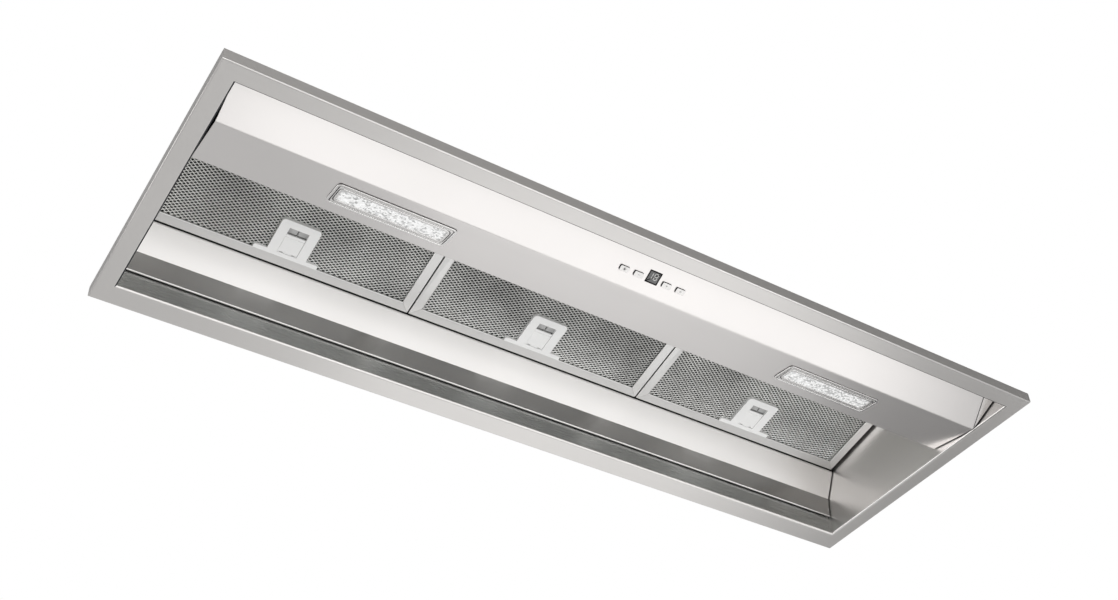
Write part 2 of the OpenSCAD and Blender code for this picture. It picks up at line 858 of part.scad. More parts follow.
module terminal_block() {
    color("white") on_jbox() difference() {
        block(terminal_size[0], -terminal_size[1] / 2, terminal_size[1] / 2,
            jbox_wall, jbox_wall + terminal_size[2]);
        for (i = [0 : terminals - 1]) translate([(i - (terminals - 1) / 2) * terminal_pitch, 0, 0])
            for (y = [-terminal_bar, terminal_bar]) translate([0, y, terminal_size[2] / 2])
                cylinder(terminal_size[2], r = terminal_r);
    }
}

module cable_gland() {
    wall_x = jbox_size[0] / 2;
    color("dimgray") on_jbox() translate([wall_x, 0, jbox_size[2] / 2]) rotate([0, 90, 0]) difference() {
        union() {
            cylinder(gland_nut_l, r = gland_r, $fn = nut_sides);
            cylinder(gland_l, r = gland_thread_r);
            translate([0, 0, -jbox_wall - gland_nut_l]) cylinder(jbox_wall + gland_nut_l, r = gland_thread_r);
            translate([0, 0, -jbox_wall - gland_nut_l]) cylinder(gland_nut_l, r = gland_r, $fn = nut_sides);
        }
        translate([0, 0, -gland_l]) cylinder(3 * gland_l, r = gland_bore_r);
    }
}

module capacitor() {
    color("white") translate([cap_x, fy(cap_y), roof_z]) {
        cylinder(cap_h, r = cap_r);
        translate([0, 0, -stud_l]) cylinder(stud_l, r = stud_r);
        for (x = [-1, 1]) translate([x * tab_apart / 2 - terminal_tab[0] / 2, -terminal_tab[1] / 2, cap_h])
            cube(terminal_tab);
        translate([0, 0, -sheet_t - nut_h]) cylinder(nut_h, r = nut_r, $fn = nut_sides);
    }
}

// Blower
module blower_box() {
    low = fy(blower_y - blower_d / 2);
    w = blower_left + blower_right;
    color("silver") difference() {
        union() {
            translate([-blower_left, low, roof_z]) cube([w, blower_d, blower_h]);
            translate([-blower_left - box_foot, low, roof_z]) cube([w + 2 * box_foot, blower_d, sheet_t]);
        }
        translate([sheet_t - blower_left, low + sheet_t, roof_z - cut])
            cube([w - 2 * sheet_t, blower_d - 2 * sheet_t, blower_h - sheet_t + cut]);
        translate([0, fy(blower_y), roof_z]) cylinder(blower_h + cut, r = collar_r - collar_t);
        box_screw_places() screw_hole();
        collar_screw_places() screw_hole();
    }
}

function scroll_r(a) =
    impeller_r + scroll_gap
    + (blower_d / 2 - sheet_t - scroll_side_gap - scroll_t - impeller_r - scroll_gap)
    * (a - scroll_start) / (scroll_end - scroll_start);

// Spiral sheet round the impeller, which runs out straight to the box's right end
module scroll_wall() {
    step = (scroll_end - scroll_start) / scroll_steps;
    angles = [for (i = [0 : scroll_steps]) scroll_start + i * step];
    run = impeller_x + blower_right - 2 * sheet_t;
    inner = [for (a = angles) scroll_r(a) * [cos(a), sin(a)]];
    outer = [for (a = angles) (scroll_r(a) + scroll_t) * [cos(a), sin(a)]];
    last = scroll_r(scroll_end);
    ends_in = concat(inner, [[run, -last]]);
    ends_out = concat(outer, [[run, -last - scroll_t]]);
    color("lightgray") translate([-impeller_x, fy(blower_y), roof_z]) linear_extrude(blower_h - sheet_t)
        polygon(concat(ends_in, [for (i = [len(ends_out) - 1 : -1 : 0]) ends_out[i]]));
}

module inlet_ring() {
    color("silver") translate([-impeller_x, fy(blower_y), 0]) {
        ring(impeller_r, inlet_throat_r, roof_z, roof_z + inlet_t);
        ring(inlet_throat_r + inlet_t, inlet_throat_r, canopy_h - inlet_drop, roof_z + inlet_rise);
    }
}

module impeller() {
    top_z = impeller_z + impeller_h;
    color("darkslategray") translate([-impeller_x, fy(blower_y), 0]) {
        ring(impeller_r, shaft_r - cut, top_z - impeller_plate_t, top_z);
        ring(impeller_r, impeller_r - blade_l, impeller_z, impeller_z + impeller_plate_t);
        for (i = [0 : blades - 1]) rotate(i * 360 / blades)
            translate([impeller_r - blade_l / 2 - blade_t, 0, impeller_z]) rotate(blade_angle)
                translate([-blade_l / 2, -blade_t / 2, 0]) cube([blade_l, blade_t, impeller_h]);
        translate([0, 0, top_z - hub_h]) cylinder(hub_h, r = hub_r);
        translate([0, 0, top_z - hub_h - shaft_below]) cylinder(hub_h + shaft_below + motor_gap + shaft_in, r = shaft_r);
    }
}

module motor() {
    low = impeller_z + impeller_h + motor_gap;
    high = blower_top - sheet_t - bracket_t;
    color("dimgray") translate([-impeller_x, fy(blower_y), 0]) difference() {
        translate([0, 0, low]) cylinder(high - low, r = motor_r);
        translate([0, 0, low - cut]) cylinder(shaft_in + cut + shaft_fit, r = shaft_r + shaft_fit);
    }
}

module motor_bracket() {
    color("silver") translate([-impeller_x, fy(blower_y), 0]) {
        block(bracket_l, -bracket_w / 2, bracket_w / 2, blower_top - sheet_t - bracket_t, blower_top - sheet_t);
        block(bracket_w, -bracket_l / 2, bracket_l / 2, blower_top - sheet_t - bracket_t, blower_top - sheet_t);
    }
}

module duct_collar() {
    color("silver") translate([0, fy(blower_y), 0]) difference() {
        union() {
            ring(collar_r, collar_r - collar_t, blower_top, blower_top + collar_h);
            ring(collar_r + collar_flange, collar_r - collar_t, blower_top, blower_top + sheet_t);
            ring(collar_r - collar_t / 2, collar_r - collar_t - stop_w, stop_z, stop_z + stop_h);
        }
        damper_pin_places(pin_r);
        translate([0, -fy(blower_y), 0]) collar_screw_places() screw_hole();
    }
}

module damper_pin_places(r) {
    half = collar_r - collar_t + pin_bite;
    for (y = [-pin_y, pin_y]) translate([-half, y, pin_z]) rotate([0, 90, 0]) cylinder(2 * half, r = r);
}

module damper_pins() {
    color("silver") translate([0, fy(blower_y), 0]) damper_pin_places(pin_r);
}

module damper_flap(side) {
    r = collar_r - collar_t - flap_fit;
    color("lightgray") translate([0, fy(blower_y), 0]) scale([1, side, 1]) difference() {
        union() {
            intersection() {
                translate([0, 0, flap_z]) cylinder(flap_t, r = r);
                block(2 * r, pin_y, 2 * r, 0, flap_z + pin_z);
            }
            translate([-knuckle_half, pin_y, pin_z]) rotate([0, 90, 0]) cylinder(2 * knuckle_half, r = knuckle_r);
        }
        translate([-collar_r, pin_y, pin_z]) rotate([0, 90, 0]) cylinder(2 * collar_r, r = pin_r + pin_fit);
    }
}

// Hanging brackets
module at_hangers() {
    for (x = [-1, 1], y = [-1, 1])
        translate([x * hang_x / 2, fy(hang_mid_y + y * hang_y / 2), roof_z]) scale([x, 1, 1]) children();
}

module hanging_brackets() {
    color("darkgray") at_hangers() difference() {
        union() {
            translate([-foot_l - tab_l / 2, -tab_w / 2, 0]) cube([foot_l, tab_w, tab_t]);
            translate([-tab_l / 2 - tab_t, -tab_w / 2, 0]) cube([tab_t, tab_w, bracket_h]);
            translate([-tab_l / 2 - tab_t, -tab_w / 2, bracket_h - tab_t]) cube([tab_l + tab_t, tab_w, tab_t]);
        }
        translate([0, 0, bracket_h - tab_t - cut]) cylinder(tab_t + 2 * cut, r = hang_hole_r);
        for (y = [-1, 1]) translate([-foot_l / 2 - tab_l / 2 - tab_t / 2, y * foot_screw_apart / 2, 0]) screw_hole();
    }
}

// Screws
module screw_hole() {
    translate([0, 0, -screw_l - cut]) cylinder(2 * screw_l, r = screw_r + screw_fit);
}

module bracket_screw_places() {
    at_hangers() for (y = [-1, 1])
        translate([-foot_l / 2 - tab_l / 2 - tab_t / 2, y * foot_screw_apart / 2, tab_t]) children();
}

module box_screw_places() {
    for (x = [-blower_left - box_foot / 2, blower_right + box_foot / 2], y = [-1, 0, 1])
        translate([x, fy(blower_y + y * blower_d / 3), roof_z + sheet_t]) children();
}

module collar_screw_places() {
    for (a = [45 : 90 : 315]) translate([0, fy(blower_y), blower_top + sheet_t]) rotate(a)
        translate([collar_r + collar_flange / 2, 0, 0]) children();
}

module lid_screw_places() {
    for (x = [-1, 1], y = [-1, 1]) translate([
        x * (jbox_size[0] / 2 - jbox_screw_in), y * (jbox_size[1] / 2 - jbox_screw_in),
        jbox_size[2] + jbox_lid_t
    ]) children();
}

module roof_screw_places() {
    bracket_screw_places() children();
    box_screw_places() children();
}

module screw() {
    cylinder(head_h, r = head_r);
    translate([0, 0, -screw_l]) cylinder(screw_l, r = screw_r);
}

module screws() {
    color("silver") {
        roof_screw_places() screw();
        collar_screw_places() screw();
        on_jbox() lid_screw_places() screw();
    }
}

flange_frame();
side_panel(-1);  // side_panel_left
side_panel(1);  // side_panel_right
front_panel();
rear_wall();
canopy_top();
light_bar();
bar_end_plates();
partition();
filter_ledge();
rear_baffle();
baffle_strip();
rear_filter_rest();
filter_frame(-1);  // filter_frame_left
filter_frame(0);  // filter_frame_middle
filter_frame(1);  // filter_frame_right
filter_mesh(-1);  // filter_mesh_left
filter_mesh(0);  // filter_mesh_middle
filter_mesh(1);  // filter_mesh_right
latch_body(-1);  // latch_body_left
latch_body(0);  // latch_body_middle
latch_body(1);  // latch_body_right
latch_slider(-1);  // latch_slider_left
latch_slider(0);  // latch_slider_middle
latch_slider(1);  // latch_slider_right
latch_spring(-1);  // latch_spring_left
latch_spring(0);  // latch_spring_middle
latch_spring(1);  // latch_spring_right
light_bezel(-light_x);  // light_bezel_left
light_bezel(light_x);  // light_bezel_right
light_lens(-light_x);  // light_lens_left
light_lens(light_x);  // light_lens_right
led_boards();
light_housings();
button(-2);  // button_1
button(-1);  // button_2
button(1);  // button_3
button(2);  // button_4
display_window();
control_board();
board_tray();
led_driver();
wiring_duct();
junction_box();
junction_cover();
cable_gland();
terminal_block();
blower_box();
scroll_wall();
inlet_ring();
impeller();
motor();
motor_bracket();
duct_collar();
damper_flap(-1);  // damper_flap_front
damper_flap(1);  // damper_flap_rear
damper_pins();
capacitor();
hanging_brackets();
screws();
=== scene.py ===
"""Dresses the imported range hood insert: brushed sheet steel, mesh filters, latches, lamps and blower."""

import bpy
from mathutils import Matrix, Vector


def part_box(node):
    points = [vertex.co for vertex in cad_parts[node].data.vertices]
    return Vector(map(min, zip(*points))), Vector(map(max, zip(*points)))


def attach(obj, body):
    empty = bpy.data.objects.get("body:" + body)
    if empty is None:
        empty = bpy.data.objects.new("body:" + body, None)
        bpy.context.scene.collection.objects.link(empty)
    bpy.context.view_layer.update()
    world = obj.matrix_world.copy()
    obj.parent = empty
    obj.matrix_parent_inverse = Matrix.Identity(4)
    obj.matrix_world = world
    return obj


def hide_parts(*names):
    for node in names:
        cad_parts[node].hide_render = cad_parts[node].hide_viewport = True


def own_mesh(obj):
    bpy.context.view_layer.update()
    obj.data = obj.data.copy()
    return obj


bl_info = {
    "name": "Range Hood Insert",
    "version": (1, 0, 0),
    "blender": (4, 5, 0),
    "location": "View3D > Sidebar > Hood",
    "description": "Builds the finished surfaces of a range hood insert around its packed model",
    "category": "Add Mesh",
}

import math

import bmesh
import bpy
from bpy.props import FloatProperty, FloatVectorProperty, IntProperty, PointerProperty
from mathutils import Matrix, Vector, noise

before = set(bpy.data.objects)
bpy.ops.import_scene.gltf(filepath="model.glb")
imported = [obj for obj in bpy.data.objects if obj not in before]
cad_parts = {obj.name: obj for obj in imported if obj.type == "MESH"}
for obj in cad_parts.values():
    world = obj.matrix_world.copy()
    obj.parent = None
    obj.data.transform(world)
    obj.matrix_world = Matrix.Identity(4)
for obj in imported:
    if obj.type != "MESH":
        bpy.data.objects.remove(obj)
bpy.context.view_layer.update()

MM = 0.001
NEAR = 0.02 * MM
SUNK = 0.02 * MM
X, Y = 0, 1

# Places and sizes that the CAD source gives its pieces, in metres and radians
FRONT_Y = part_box("flange_frame")[0].y
BACK_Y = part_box("flange_frame")[1].y
END_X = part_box("flange_frame")[1].x
SHEET_T = 1.0 * MM
INSIDE_X = END_X - 25 * MM
INSIDE_FRONT_Y = FRONT_Y + 26 * MM
INSIDE_BACK_Y = BACK_Y - 35 * MM
BAR_END_X = 572.7 * MM
BAR_STEP_Z = 28 * MM
# Height on the baffle above which its sheet is painted dark as shade
PAINTED_SHADE_Z = 102.6 * MM
TAB_T = 0.9 * MM
TAB_LINE = ((550.2 * MM, -66 * MM), (572.7 * MM, -3.5 * MM))
FOLD = Vector((0, FRONT_Y + 87.5 * MM, 0.5 * MM))
CONTROL_TILT = math.radians(-23.5)
LIGHT_TILT = math.radians(10)
LIGHT_MIDDLE = 38.59 * MM
LIGHT_X = 335.5 * MM
LAMP_HALF_W = 67 * MM
LAMP_HALF_L = 16 * MM
BUTTON_Y = -23.7 * MM
BUTTON_PITCH = 21.4 * MM
DISPLAY_Y = -27.2 * MM
FILTER_TILT = math.radians(-10.75)
FILTER_FRONT = Vector((0, FRONT_Y + 168.2 * MM, 142.0 * MM))
FILTER_PITCH = 381 * MM
FILTER_W = 379 * MM
FILTER_L = 206.73 * MM
RAIL_W = 14 * MM
LATCH_LOW_Z = -1.2 * MM
LATCH_HALF_W = 27.5 * MM
LATCH_FRONT_Y = 133.13 * MM
FOOT_BACK_Y = 192.1 * MM
POCKET_FRONT_Y = 143.98 * MM
POCKET_TOP_Z = 1.75 * MM
WINDOW_HALF_W = 13.9 * MM
RECESS_LOW_Z = 0.2 * MM
SLIDER_LOW_Z = -0.7 * MM
SLIDER_FRONT_Y = 159.58 * MM
WINDOW_BACK_Y = SLIDER_FRONT_Y + 6 * MM
SPRING_FRONT_Y = 135.73 * MM
SPRING_L = 23.5 * MM
SPRING_Z = 3.7 * MM
SPRING_R = 1.9 * MM
PLACES = {"left": -1, "middle": 0, "right": 1}
KEY_PLACES = {1: -2, 2: -1, 3: 1, 4: 2}

# Fine sizes that only the finished surfaces have, where a step has its width and its rise
BAR_STEP_R = 0.9 * MM
BAR_EDGE_R = 0.12 * MM
PLATE_GAP = 0.3 * MM
BAFFLE_EDGE_R = 0.25 * MM
BEZEL_STEPS = ((2.8 * MM, 0), (0.3 * MM, -0.9 * MM), (0.9 * MM, 0), (0.3 * MM, 0.8 * MM))
BEZEL_EDGE_R = 0.22 * MM
# Height of the band of painted shadow along the lamp frames' outer sides
PAINTED_SIDE_SHADOW_H = 0.7 * MM
LENS_STEPS = ((2.2 * MM, 0), (1.6 * MM, 0.45 * MM))
LENS_EDGE_R = 0.4 * MM
CHIP_DEPTH = 1.3 * MM
KEY_EDGE_R = 0.25 * MM
INK_T = 0.05 * MM
FIGURE_T = 0.04 * MM
FIGURE_SCALE = 1.15
FIGURE_SHIFT = (-0.9 * MM, -1.2 * MM)
BORDER_STEP = (1.8 * MM, 0)
MESH_MARGIN = 7 * MM
MESH_WAVE = 0.5 * MM
MESH_WAVE_SCALE = 22
MESH_T = 0.3 * MM
FRONT_MESH_Z = 3.4 * MM
BACK_MESH_Z = 4.9 * MM
CORE_Z = 5.9 * MM
CORE_MARGIN = RAIL_W - 2 * MM
CORE_WAVE = 0.2 * MM
CORE_WAVE_SCALE = 30
CORE_T = 0.2 * MM
LATCH_OVERLAP = 2 * MM
SCOOP_R = 2.2 * MM
GROOVE_Y = SLIDER_FRONT_Y - 0.4 * MM
GROOVE_HALF_W = 0.55 * MM
GROOVE_DEPTH = 0.7 * MM
SLIDE_EDGE_R = 0.3 * MM
WIRE_R = 0.25 * MM
SCREW_R = 3.8 * MM
SCREW_H = 2.2 * MM
SCREW_TURN = 2.4

# How often a scratch of brushed steel changes in a metre
SCRATCHES_ACROSS = 2400
SCRATCHES_ALONG = 20

# The studio in metres: each light's place, target, width and depth, and the same for each card, which also
# has its colour on the panel and the share of it that is left at its right end
LIGHTS = {
    "low": ((1.02, -0.35, -2.2), (1.02, -0.35, 0), 2.6, 1.1),
    "front": ((0.4, -2.2, -1.25), (0.1, 0, 0.05), 4.0, 1.4),
    "back": ((1.2, 1.6, -1.75), (0.1, 0, 0), 1.7, 1.1),
    "left": ((-2.07, 1.36, -0.8), (-0.6, 0, 0), 1.7, 1.7),
}
CARDS = {
    "front_card": ((1.1, -1.8, 1.9), (0, -0.2, 0), 5.0, 2.6, "front_card", 0.25),
    "right_card": ((2.15, 1.52, -1.15), (0, 1.52, -1.15), 1.45, 1.6, "end_card", 1),
    "left_card": ((-1.4, 1.15, 0.8), (-1.4, 1.15, 0), 1.6, 1.9, "end_card", 1),
}
CAMERA_PLACE = (-0.8436, -1.2010, -1.2150)
CAMERA_RIGHT = Vector((0.8469, -0.5307, -0.0327))
CAMERA_AHEAD = Vector((0.4143, 0.6202, 0.6662))
SENSOR_W = 36
FOCAL_L = 46.38


def length(name, description, default, low, high):
    """A size that a user can set, in metres."""
    return FloatProperty(
        name=name, description=description, default=default, min=low, max=high, unit="LENGTH"
    )


def share(name, description, default):
    """A strength that a user can set, from none to full."""
    return FloatProperty(name=name, description=description, default=default, min=0, max=1, subtype="FACTOR")


def colour(name, description, default):
    """A colour that a user can set, in linear light."""
    return FloatVectorProperty(
        name=name, description=description, default=default, size=3, min=0, max=1, subtype="COLOR"
    )


def power(name, description, default):
    """The power of a lamp of the studio, in watts."""
    return FloatProperty(name=name, description=description, default=default, min=0, max=200, unit="POWER")


class HoodSizes(bpy.types.PropertyGroup):
    """Sizes of the softened edges and of the fine pieces."""

    bend: length("Bend radius", "Outer radius of the flange's bent edges", 2 * MM, 0.5 * MM, 2.2 * MM)
    roll: length("Roll radius", "Radius where the flange turns up", 3 * MM, 1.5 * MM, 4 * MM)
    fold: length("Fold width", "Half width of the light bar's soft folds", 1.5 * MM, 0.5 * MM, 3 * MM)
    edge: length("Sheet edge", "Rounding of the cut edges of the sheet", 0.2 * MM, 0.05 * MM, 0.4 * MM)
    moulded: length("Moulded edge", "Rounding of the plastic pieces' edges", 0.5 * MM, 0.1 * MM, 0.8 * MM)
    rail_edge: length("Rail edge", "Rounding of the filter rails", 0.9 * MM, 0.2 * MM, 1.2 * MM)
    mitre: length("Mitre gap", "Gap between two rails where they meet", 0.25 * MM, 0.1 * MM, 0.6 * MM)
    mesh_long: length("Mesh long way", "Length of one opening of the mesh", 8 * MM, 5 * MM, 12 * MM)
    mesh_short: length("Mesh short way", "Width of one opening of the mesh", 5.05 * MM, 3 * MM, 8 * MM)
    strand: length("Strand width", "Width of a strand beside an opening", 0.55 * MM, 0.3 * MM, 1.2 * MM)
    strand_rise: length("Strand rise", "How far a strand leans out of its sheet", 0.7 * MM, 0.1 * MM, 1 * MM)
    coils: IntProperty(name="Spring turns", description="Turns of a latch spring", default=11, min=6, max=14)


class HoodColours(bpy.types.PropertyGroup):
    """Colours of the finishes."""

    steel: colour("Flange steel", "Satin brushed steel of the flange and side walls", (0.665, 0.648, 0.632))
    back: colour("Rear wall steel", "Fine brushed steel of the rear wall", (0.53, 0.535, 0.525))
    bar: colour("Bar steel", "Satin brushed steel of the light bar", (0.675, 0.655, 0.643))
    baffle: colour("Baffle steel", "Satin brushed steel behind the filters", (0.76, 0.745, 0.732))
    canopy: colour("Canopy steel", "Plain mill-finish sheet of the hidden body", (0.62, 0.62, 0.61))
    rail: colour("Rail aluminium", "Rolled aluminium of the filter rails", (0.68, 0.675, 0.665))
    mesh: colour("Mesh aluminium", "Expanded aluminium of the filters", (0.80, 0.80, 0.785))
    bezel: colour("Bezel steel", "Fine brushed steel round the lamps", (0.72, 0.71, 0.70))
    latch: colour("Latch plastic", "Light grey moulding of the latches", (0.87, 0.87, 0.86))
    key: colour("Button plating", "Silver plating of the buttons", (0.60, 0.59, 0.58))
    lens: colour("Lamp lens", "Moulded lens of the lamps", (0.90, 0.90, 0.895))
    smoked: colour("Display window", "Smoked window over the figures", (0.085, 0.085, 0.085))
    white: colour("White moulding", "Driver, terminals and capacitor", (0.80, 0.80, 0.78))
    dark: colour("Dark moulding", "Tray, duct, gland and fan", (0.03, 0.03, 0.033))
    board: colour("Circuit board", "Solder mask of the control board", (0.02, 0.11, 0.04))
    zinc: colour("Zinc plate", "Zinc plated sheet of the box, fan and brackets", (0.62, 0.64, 0.65))


class HoodStudio(bpy.types.PropertyGroup):
    """The plain studio around the hood."""

    floor_drop: length("Floor depth", "How far the floor lies below the flange", 3.6, 3.4, 5)
    floor_size: length("Floor size", "Side of the square floor", 30, 10, 60)
    floor: colour("Floor", "Colour of the pale floor", (0.80, 0.80, 0.80))
    room: share("Room light", "Strength of the plain light from all round", 0.85)
    low_light: power("Low light", "Soft light below the hood, which its control face reflects", 9.2)
    front_light: power("Front light", "Soft light low in front, which reaches the baffle", 41)
    back_light: power("Back light", "Soft light low behind, which the middle of the flange reflects", 4.1)
    left_light: power("Left light", "Soft light on the left, a fine line along the bends", 21)
    front_card: colour("Front card", "Grey that the front edge reflects", (0.36, 0.355, 0.35))
    end_card: colour("End cards", "Dark grey that both ends reflect", (0.24, 0.24, 0.24))


def sizes():
    return bpy.context.scene.hood_sizes


# Places


def tilted(origin, tilt, shift=(0, 0, 0)):
    """The frame of a face that is turned about X at its origin."""
    return Matrix.Translation(origin) @ Matrix.Rotation(tilt, 4, "X") @ Matrix.Translation(shift)


def on_control_face(x, y):
    return tilted(FOLD + Vector((x, 0, 0)), CONTROL_TILT, (0, y, 0))


def on_light_face(x, y):
    return tilted(FOLD + Vector((x, 0, 0)), LIGHT_TILT, (0, y, 0))


def on_filter(number):
    return tilted(FILTER_FRONT + Vector((number * FILTER_PITCH, 0, 0)), FILTER_TILT)


# Finishes


class Finish:
    """A new material with one Principled shader, and short ways to add its nodes."""

    def __init__(self, name, **settings):
        self.material = bpy.data.materials.new(name)
        self.material.use_nodes = True
        self.tree = self.material.node_tree
        self.shader = self.tree.nodes["Principled BSDF"]
        self.shade(**settings)

    def join(self, socket, value):
        if isinstance(value, bpy.types.NodeSocket):
            self.tree.links.new(value, socket)
        elif socket.type == "RGBA":
            socket.default_value = (*value, 1)
        else:
            socket.default_value = value

    def add(self, kind, inputs, output=0, **settings):
        node = self.tree.nodes.new(kind)
        for name, value in settings.items():
            setattr(node, name, value)
        for socket, value in inputs.items():
            self.join(node.inputs[socket], value)
        return node.outputs[output]

    def place(self):
        return self.add("ShaderNodeTexCoord", {}, "Object")

    def noise(self, scale, detail=2.0, stretch=(1, 1, 1)):
        moved = self.add("ShaderNodeMapping", {"Vector": self.place(), "Scale": stretch})
        return self.add("ShaderNodeTexNoise", {"Vector": moved, "Scale": scale, "Detail": detail}, "Fac")

    def cells(self, scale, output, randomness=1.0):
        place = self.place()
        return self.add(
            "ShaderNodeTexVoronoi", {"Vector": place, "Scale": scale, "Randomness": randomness}, output
        )

    def spread(self, value, low, high, start=0.3, end=0.7):
        """Maps a pattern's middle range to the values from low to high."""
        return self.add(
            "ShaderNodeMapRange",
            {"Value": value, "From Min": start, "From Max": end, "To Min": low, "To Max": high},
        )

    def mix(self, factor, first, second):
        return self.add("ShaderNodeMix", {0: factor, 6: first, 7: second}, 2, data_type="RGBA")

    def clouded(self, tint, scale, amount):
        """A colour with soft clouds that are darker by an amount."""
        return self.mix(self.spread(self.noise(scale), 0, 1), toned(tint, amount), tint)

    def bump(self, height, strength, distance):
        return self.add("ShaderNodeBump", {"Height": height, "Strength": strength, "Distance": distance})

    def shade(self, **inputs):
        for socket, value in inputs.items():
            self.join(self.shader.inputs[socket.replace("_", " ")], value)


def toned(tint, amount):
    """A colour made darker, or lighter with an amount above 1."""
    return tuple(channel * amount for channel in tint)


def brushed_steel(name, tint, roughness, along=X, anisotropy=0.6, scratch=0.012):
    """Satin sheet with fine scratches along one axis, which spread its reflections across them."""
    finish = Finish(name, Metallic=1.0, Anisotropic=anisotropy)
    axis, stretch = [0, 0, 0], [SCRATCHES_ACROSS] * 3
    axis[along], stretch[along] = 1, SCRATCHES_ALONG
    scratches = finish.noise(1.0, 3.0, stretch)
    normal = finish.add("ShaderNodeNewGeometry", {}, "Normal")
    finish.shade(
        Base_Color=finish.clouded(tint, 4.0, 0.95),
        Roughness=finish.spread(scratches, roughness - scratch, roughness + scratch),
        Tangent=finish.add("ShaderNodeVectorMath", {0: normal, 1: axis}, operation="CROSS_PRODUCT"),
        Normal=finish.bump(scratches, min(scratch, 0.012), 0.01 * MM),
    )


def plain_metal(name, tint, roughness, grain=700, depth=0.1, patches=0.93):
    """Metal with no direction, such as cast, rolled or stamped pieces."""
    finish = Finish(name, Metallic=1.0)
    marks = finish.noise(grain, 3.0)
    finish.shade(
        Base_Color=finish.clouded(tint, 9.0, patches),
        Roughness=finish.spread(marks, roughness - 0.05, roughness + 0.07),
        Normal=finish.bump(marks, depth, 0.05 * MM),
    )


def zinc_plate(name, tint):
    """Zinc plate with its pale crystals."""
    finish = Finish(name, Metallic=0.9)
    value = finish.add("ShaderNodeSeparateColor", {0: finish.cells(90.0, "Color")}, "Red")
    finish.shade(
        Base_Color=finish.mix(value, toned(tint, 0.82), tint),
        Roughness=finish.spread(value, 0.38, 0.55, 0, 1),
        Normal=finish.bump(finish.noise(300, 3.0), 0.08, 0.05 * MM),
    )


def moulding(name, tint, roughness, grain=1400, depth=0.15, coat=0.0, specular=0.5):
    """Moulded plastic or a thick coat of paint, with a fine grain."""
    finish = Finish(name, Specular_IOR_Level=specular, Coat_Weight=coat, Coat_Roughness=0.12)
    marks = finish.noise(grain)
    finish.shade(
        Base_Color=finish.clouded(tint, 14.0, 0.95),
        Roughness=finish.spread(marks, roughness - 0.05, roughness + 0.05),
        Normal=finish.bump(marks, depth, 0.03 * MM),
    )


def lamp_lens(name, tint):
    """Clear plastic over a white reflector, moulded with rows of small prisms."""
    finish = Finish(name, IOR=1.49, Transmission_Weight=0.1, Coat_Weight=0.4, Coat_Roughness=0.05)
    facet = finish.add("ShaderNodeSeparateColor", {0: finish.cells(400.0, "Color")}, "Red")
    finish.shade(
        Base_Color=finish.mix(finish.spread(facet, 0, 1, 0, 0.6), toned(tint, 0.4), tint),
        Roughness=finish.spread(facet, 0.12, 0.3, 0, 1),
        Normal=finish.bump(finish.cells(260.0, "Distance", 0.7), 0.6, 0.8 * MM),
        Emission_Color=tint,
        Emission_Strength=0.06,
    )


def woven_core(name, tint):
    """The dark tangle of the inner layers of a mesh filter, painted near-black as shade."""
    finish = Finish(name, Metallic=0.6)
    cells = finish.cells(260.0, "Distance")
    finish.shade(
        Base_Color=finish.mix(finish.spread(cells, 0, 1, 0.1, 0.6), tint, toned(tint, 3)),
        Roughness=finish.spread(cells, 0.6, 0.45, 0, 1),
        Normal=finish.bump(cells, 0.6, 1 * MM),
    )


def circuit(name, tint):
    """Solder mask with the fine lines of its tracks."""
    finish = Finish(name, Specular_IOR_Level=0.5, Coat_Weight=0.4, Coat_Roughness=0.1)
    inputs = {"Vector": finish.place(), "Scale": 260.0, "Mortar Size": 0.06}
    inputs |= {"Color1": tint, "Color2": toned(tint, 0.8), "Mortar": toned(tint, 2.2)}
    finish.shade(
        Base_Color=finish.add("ShaderNodeTexBrick", inputs, "Color"),
        Roughness=finish.spread(finish.noise(400), 0.3, 0.42),
    )


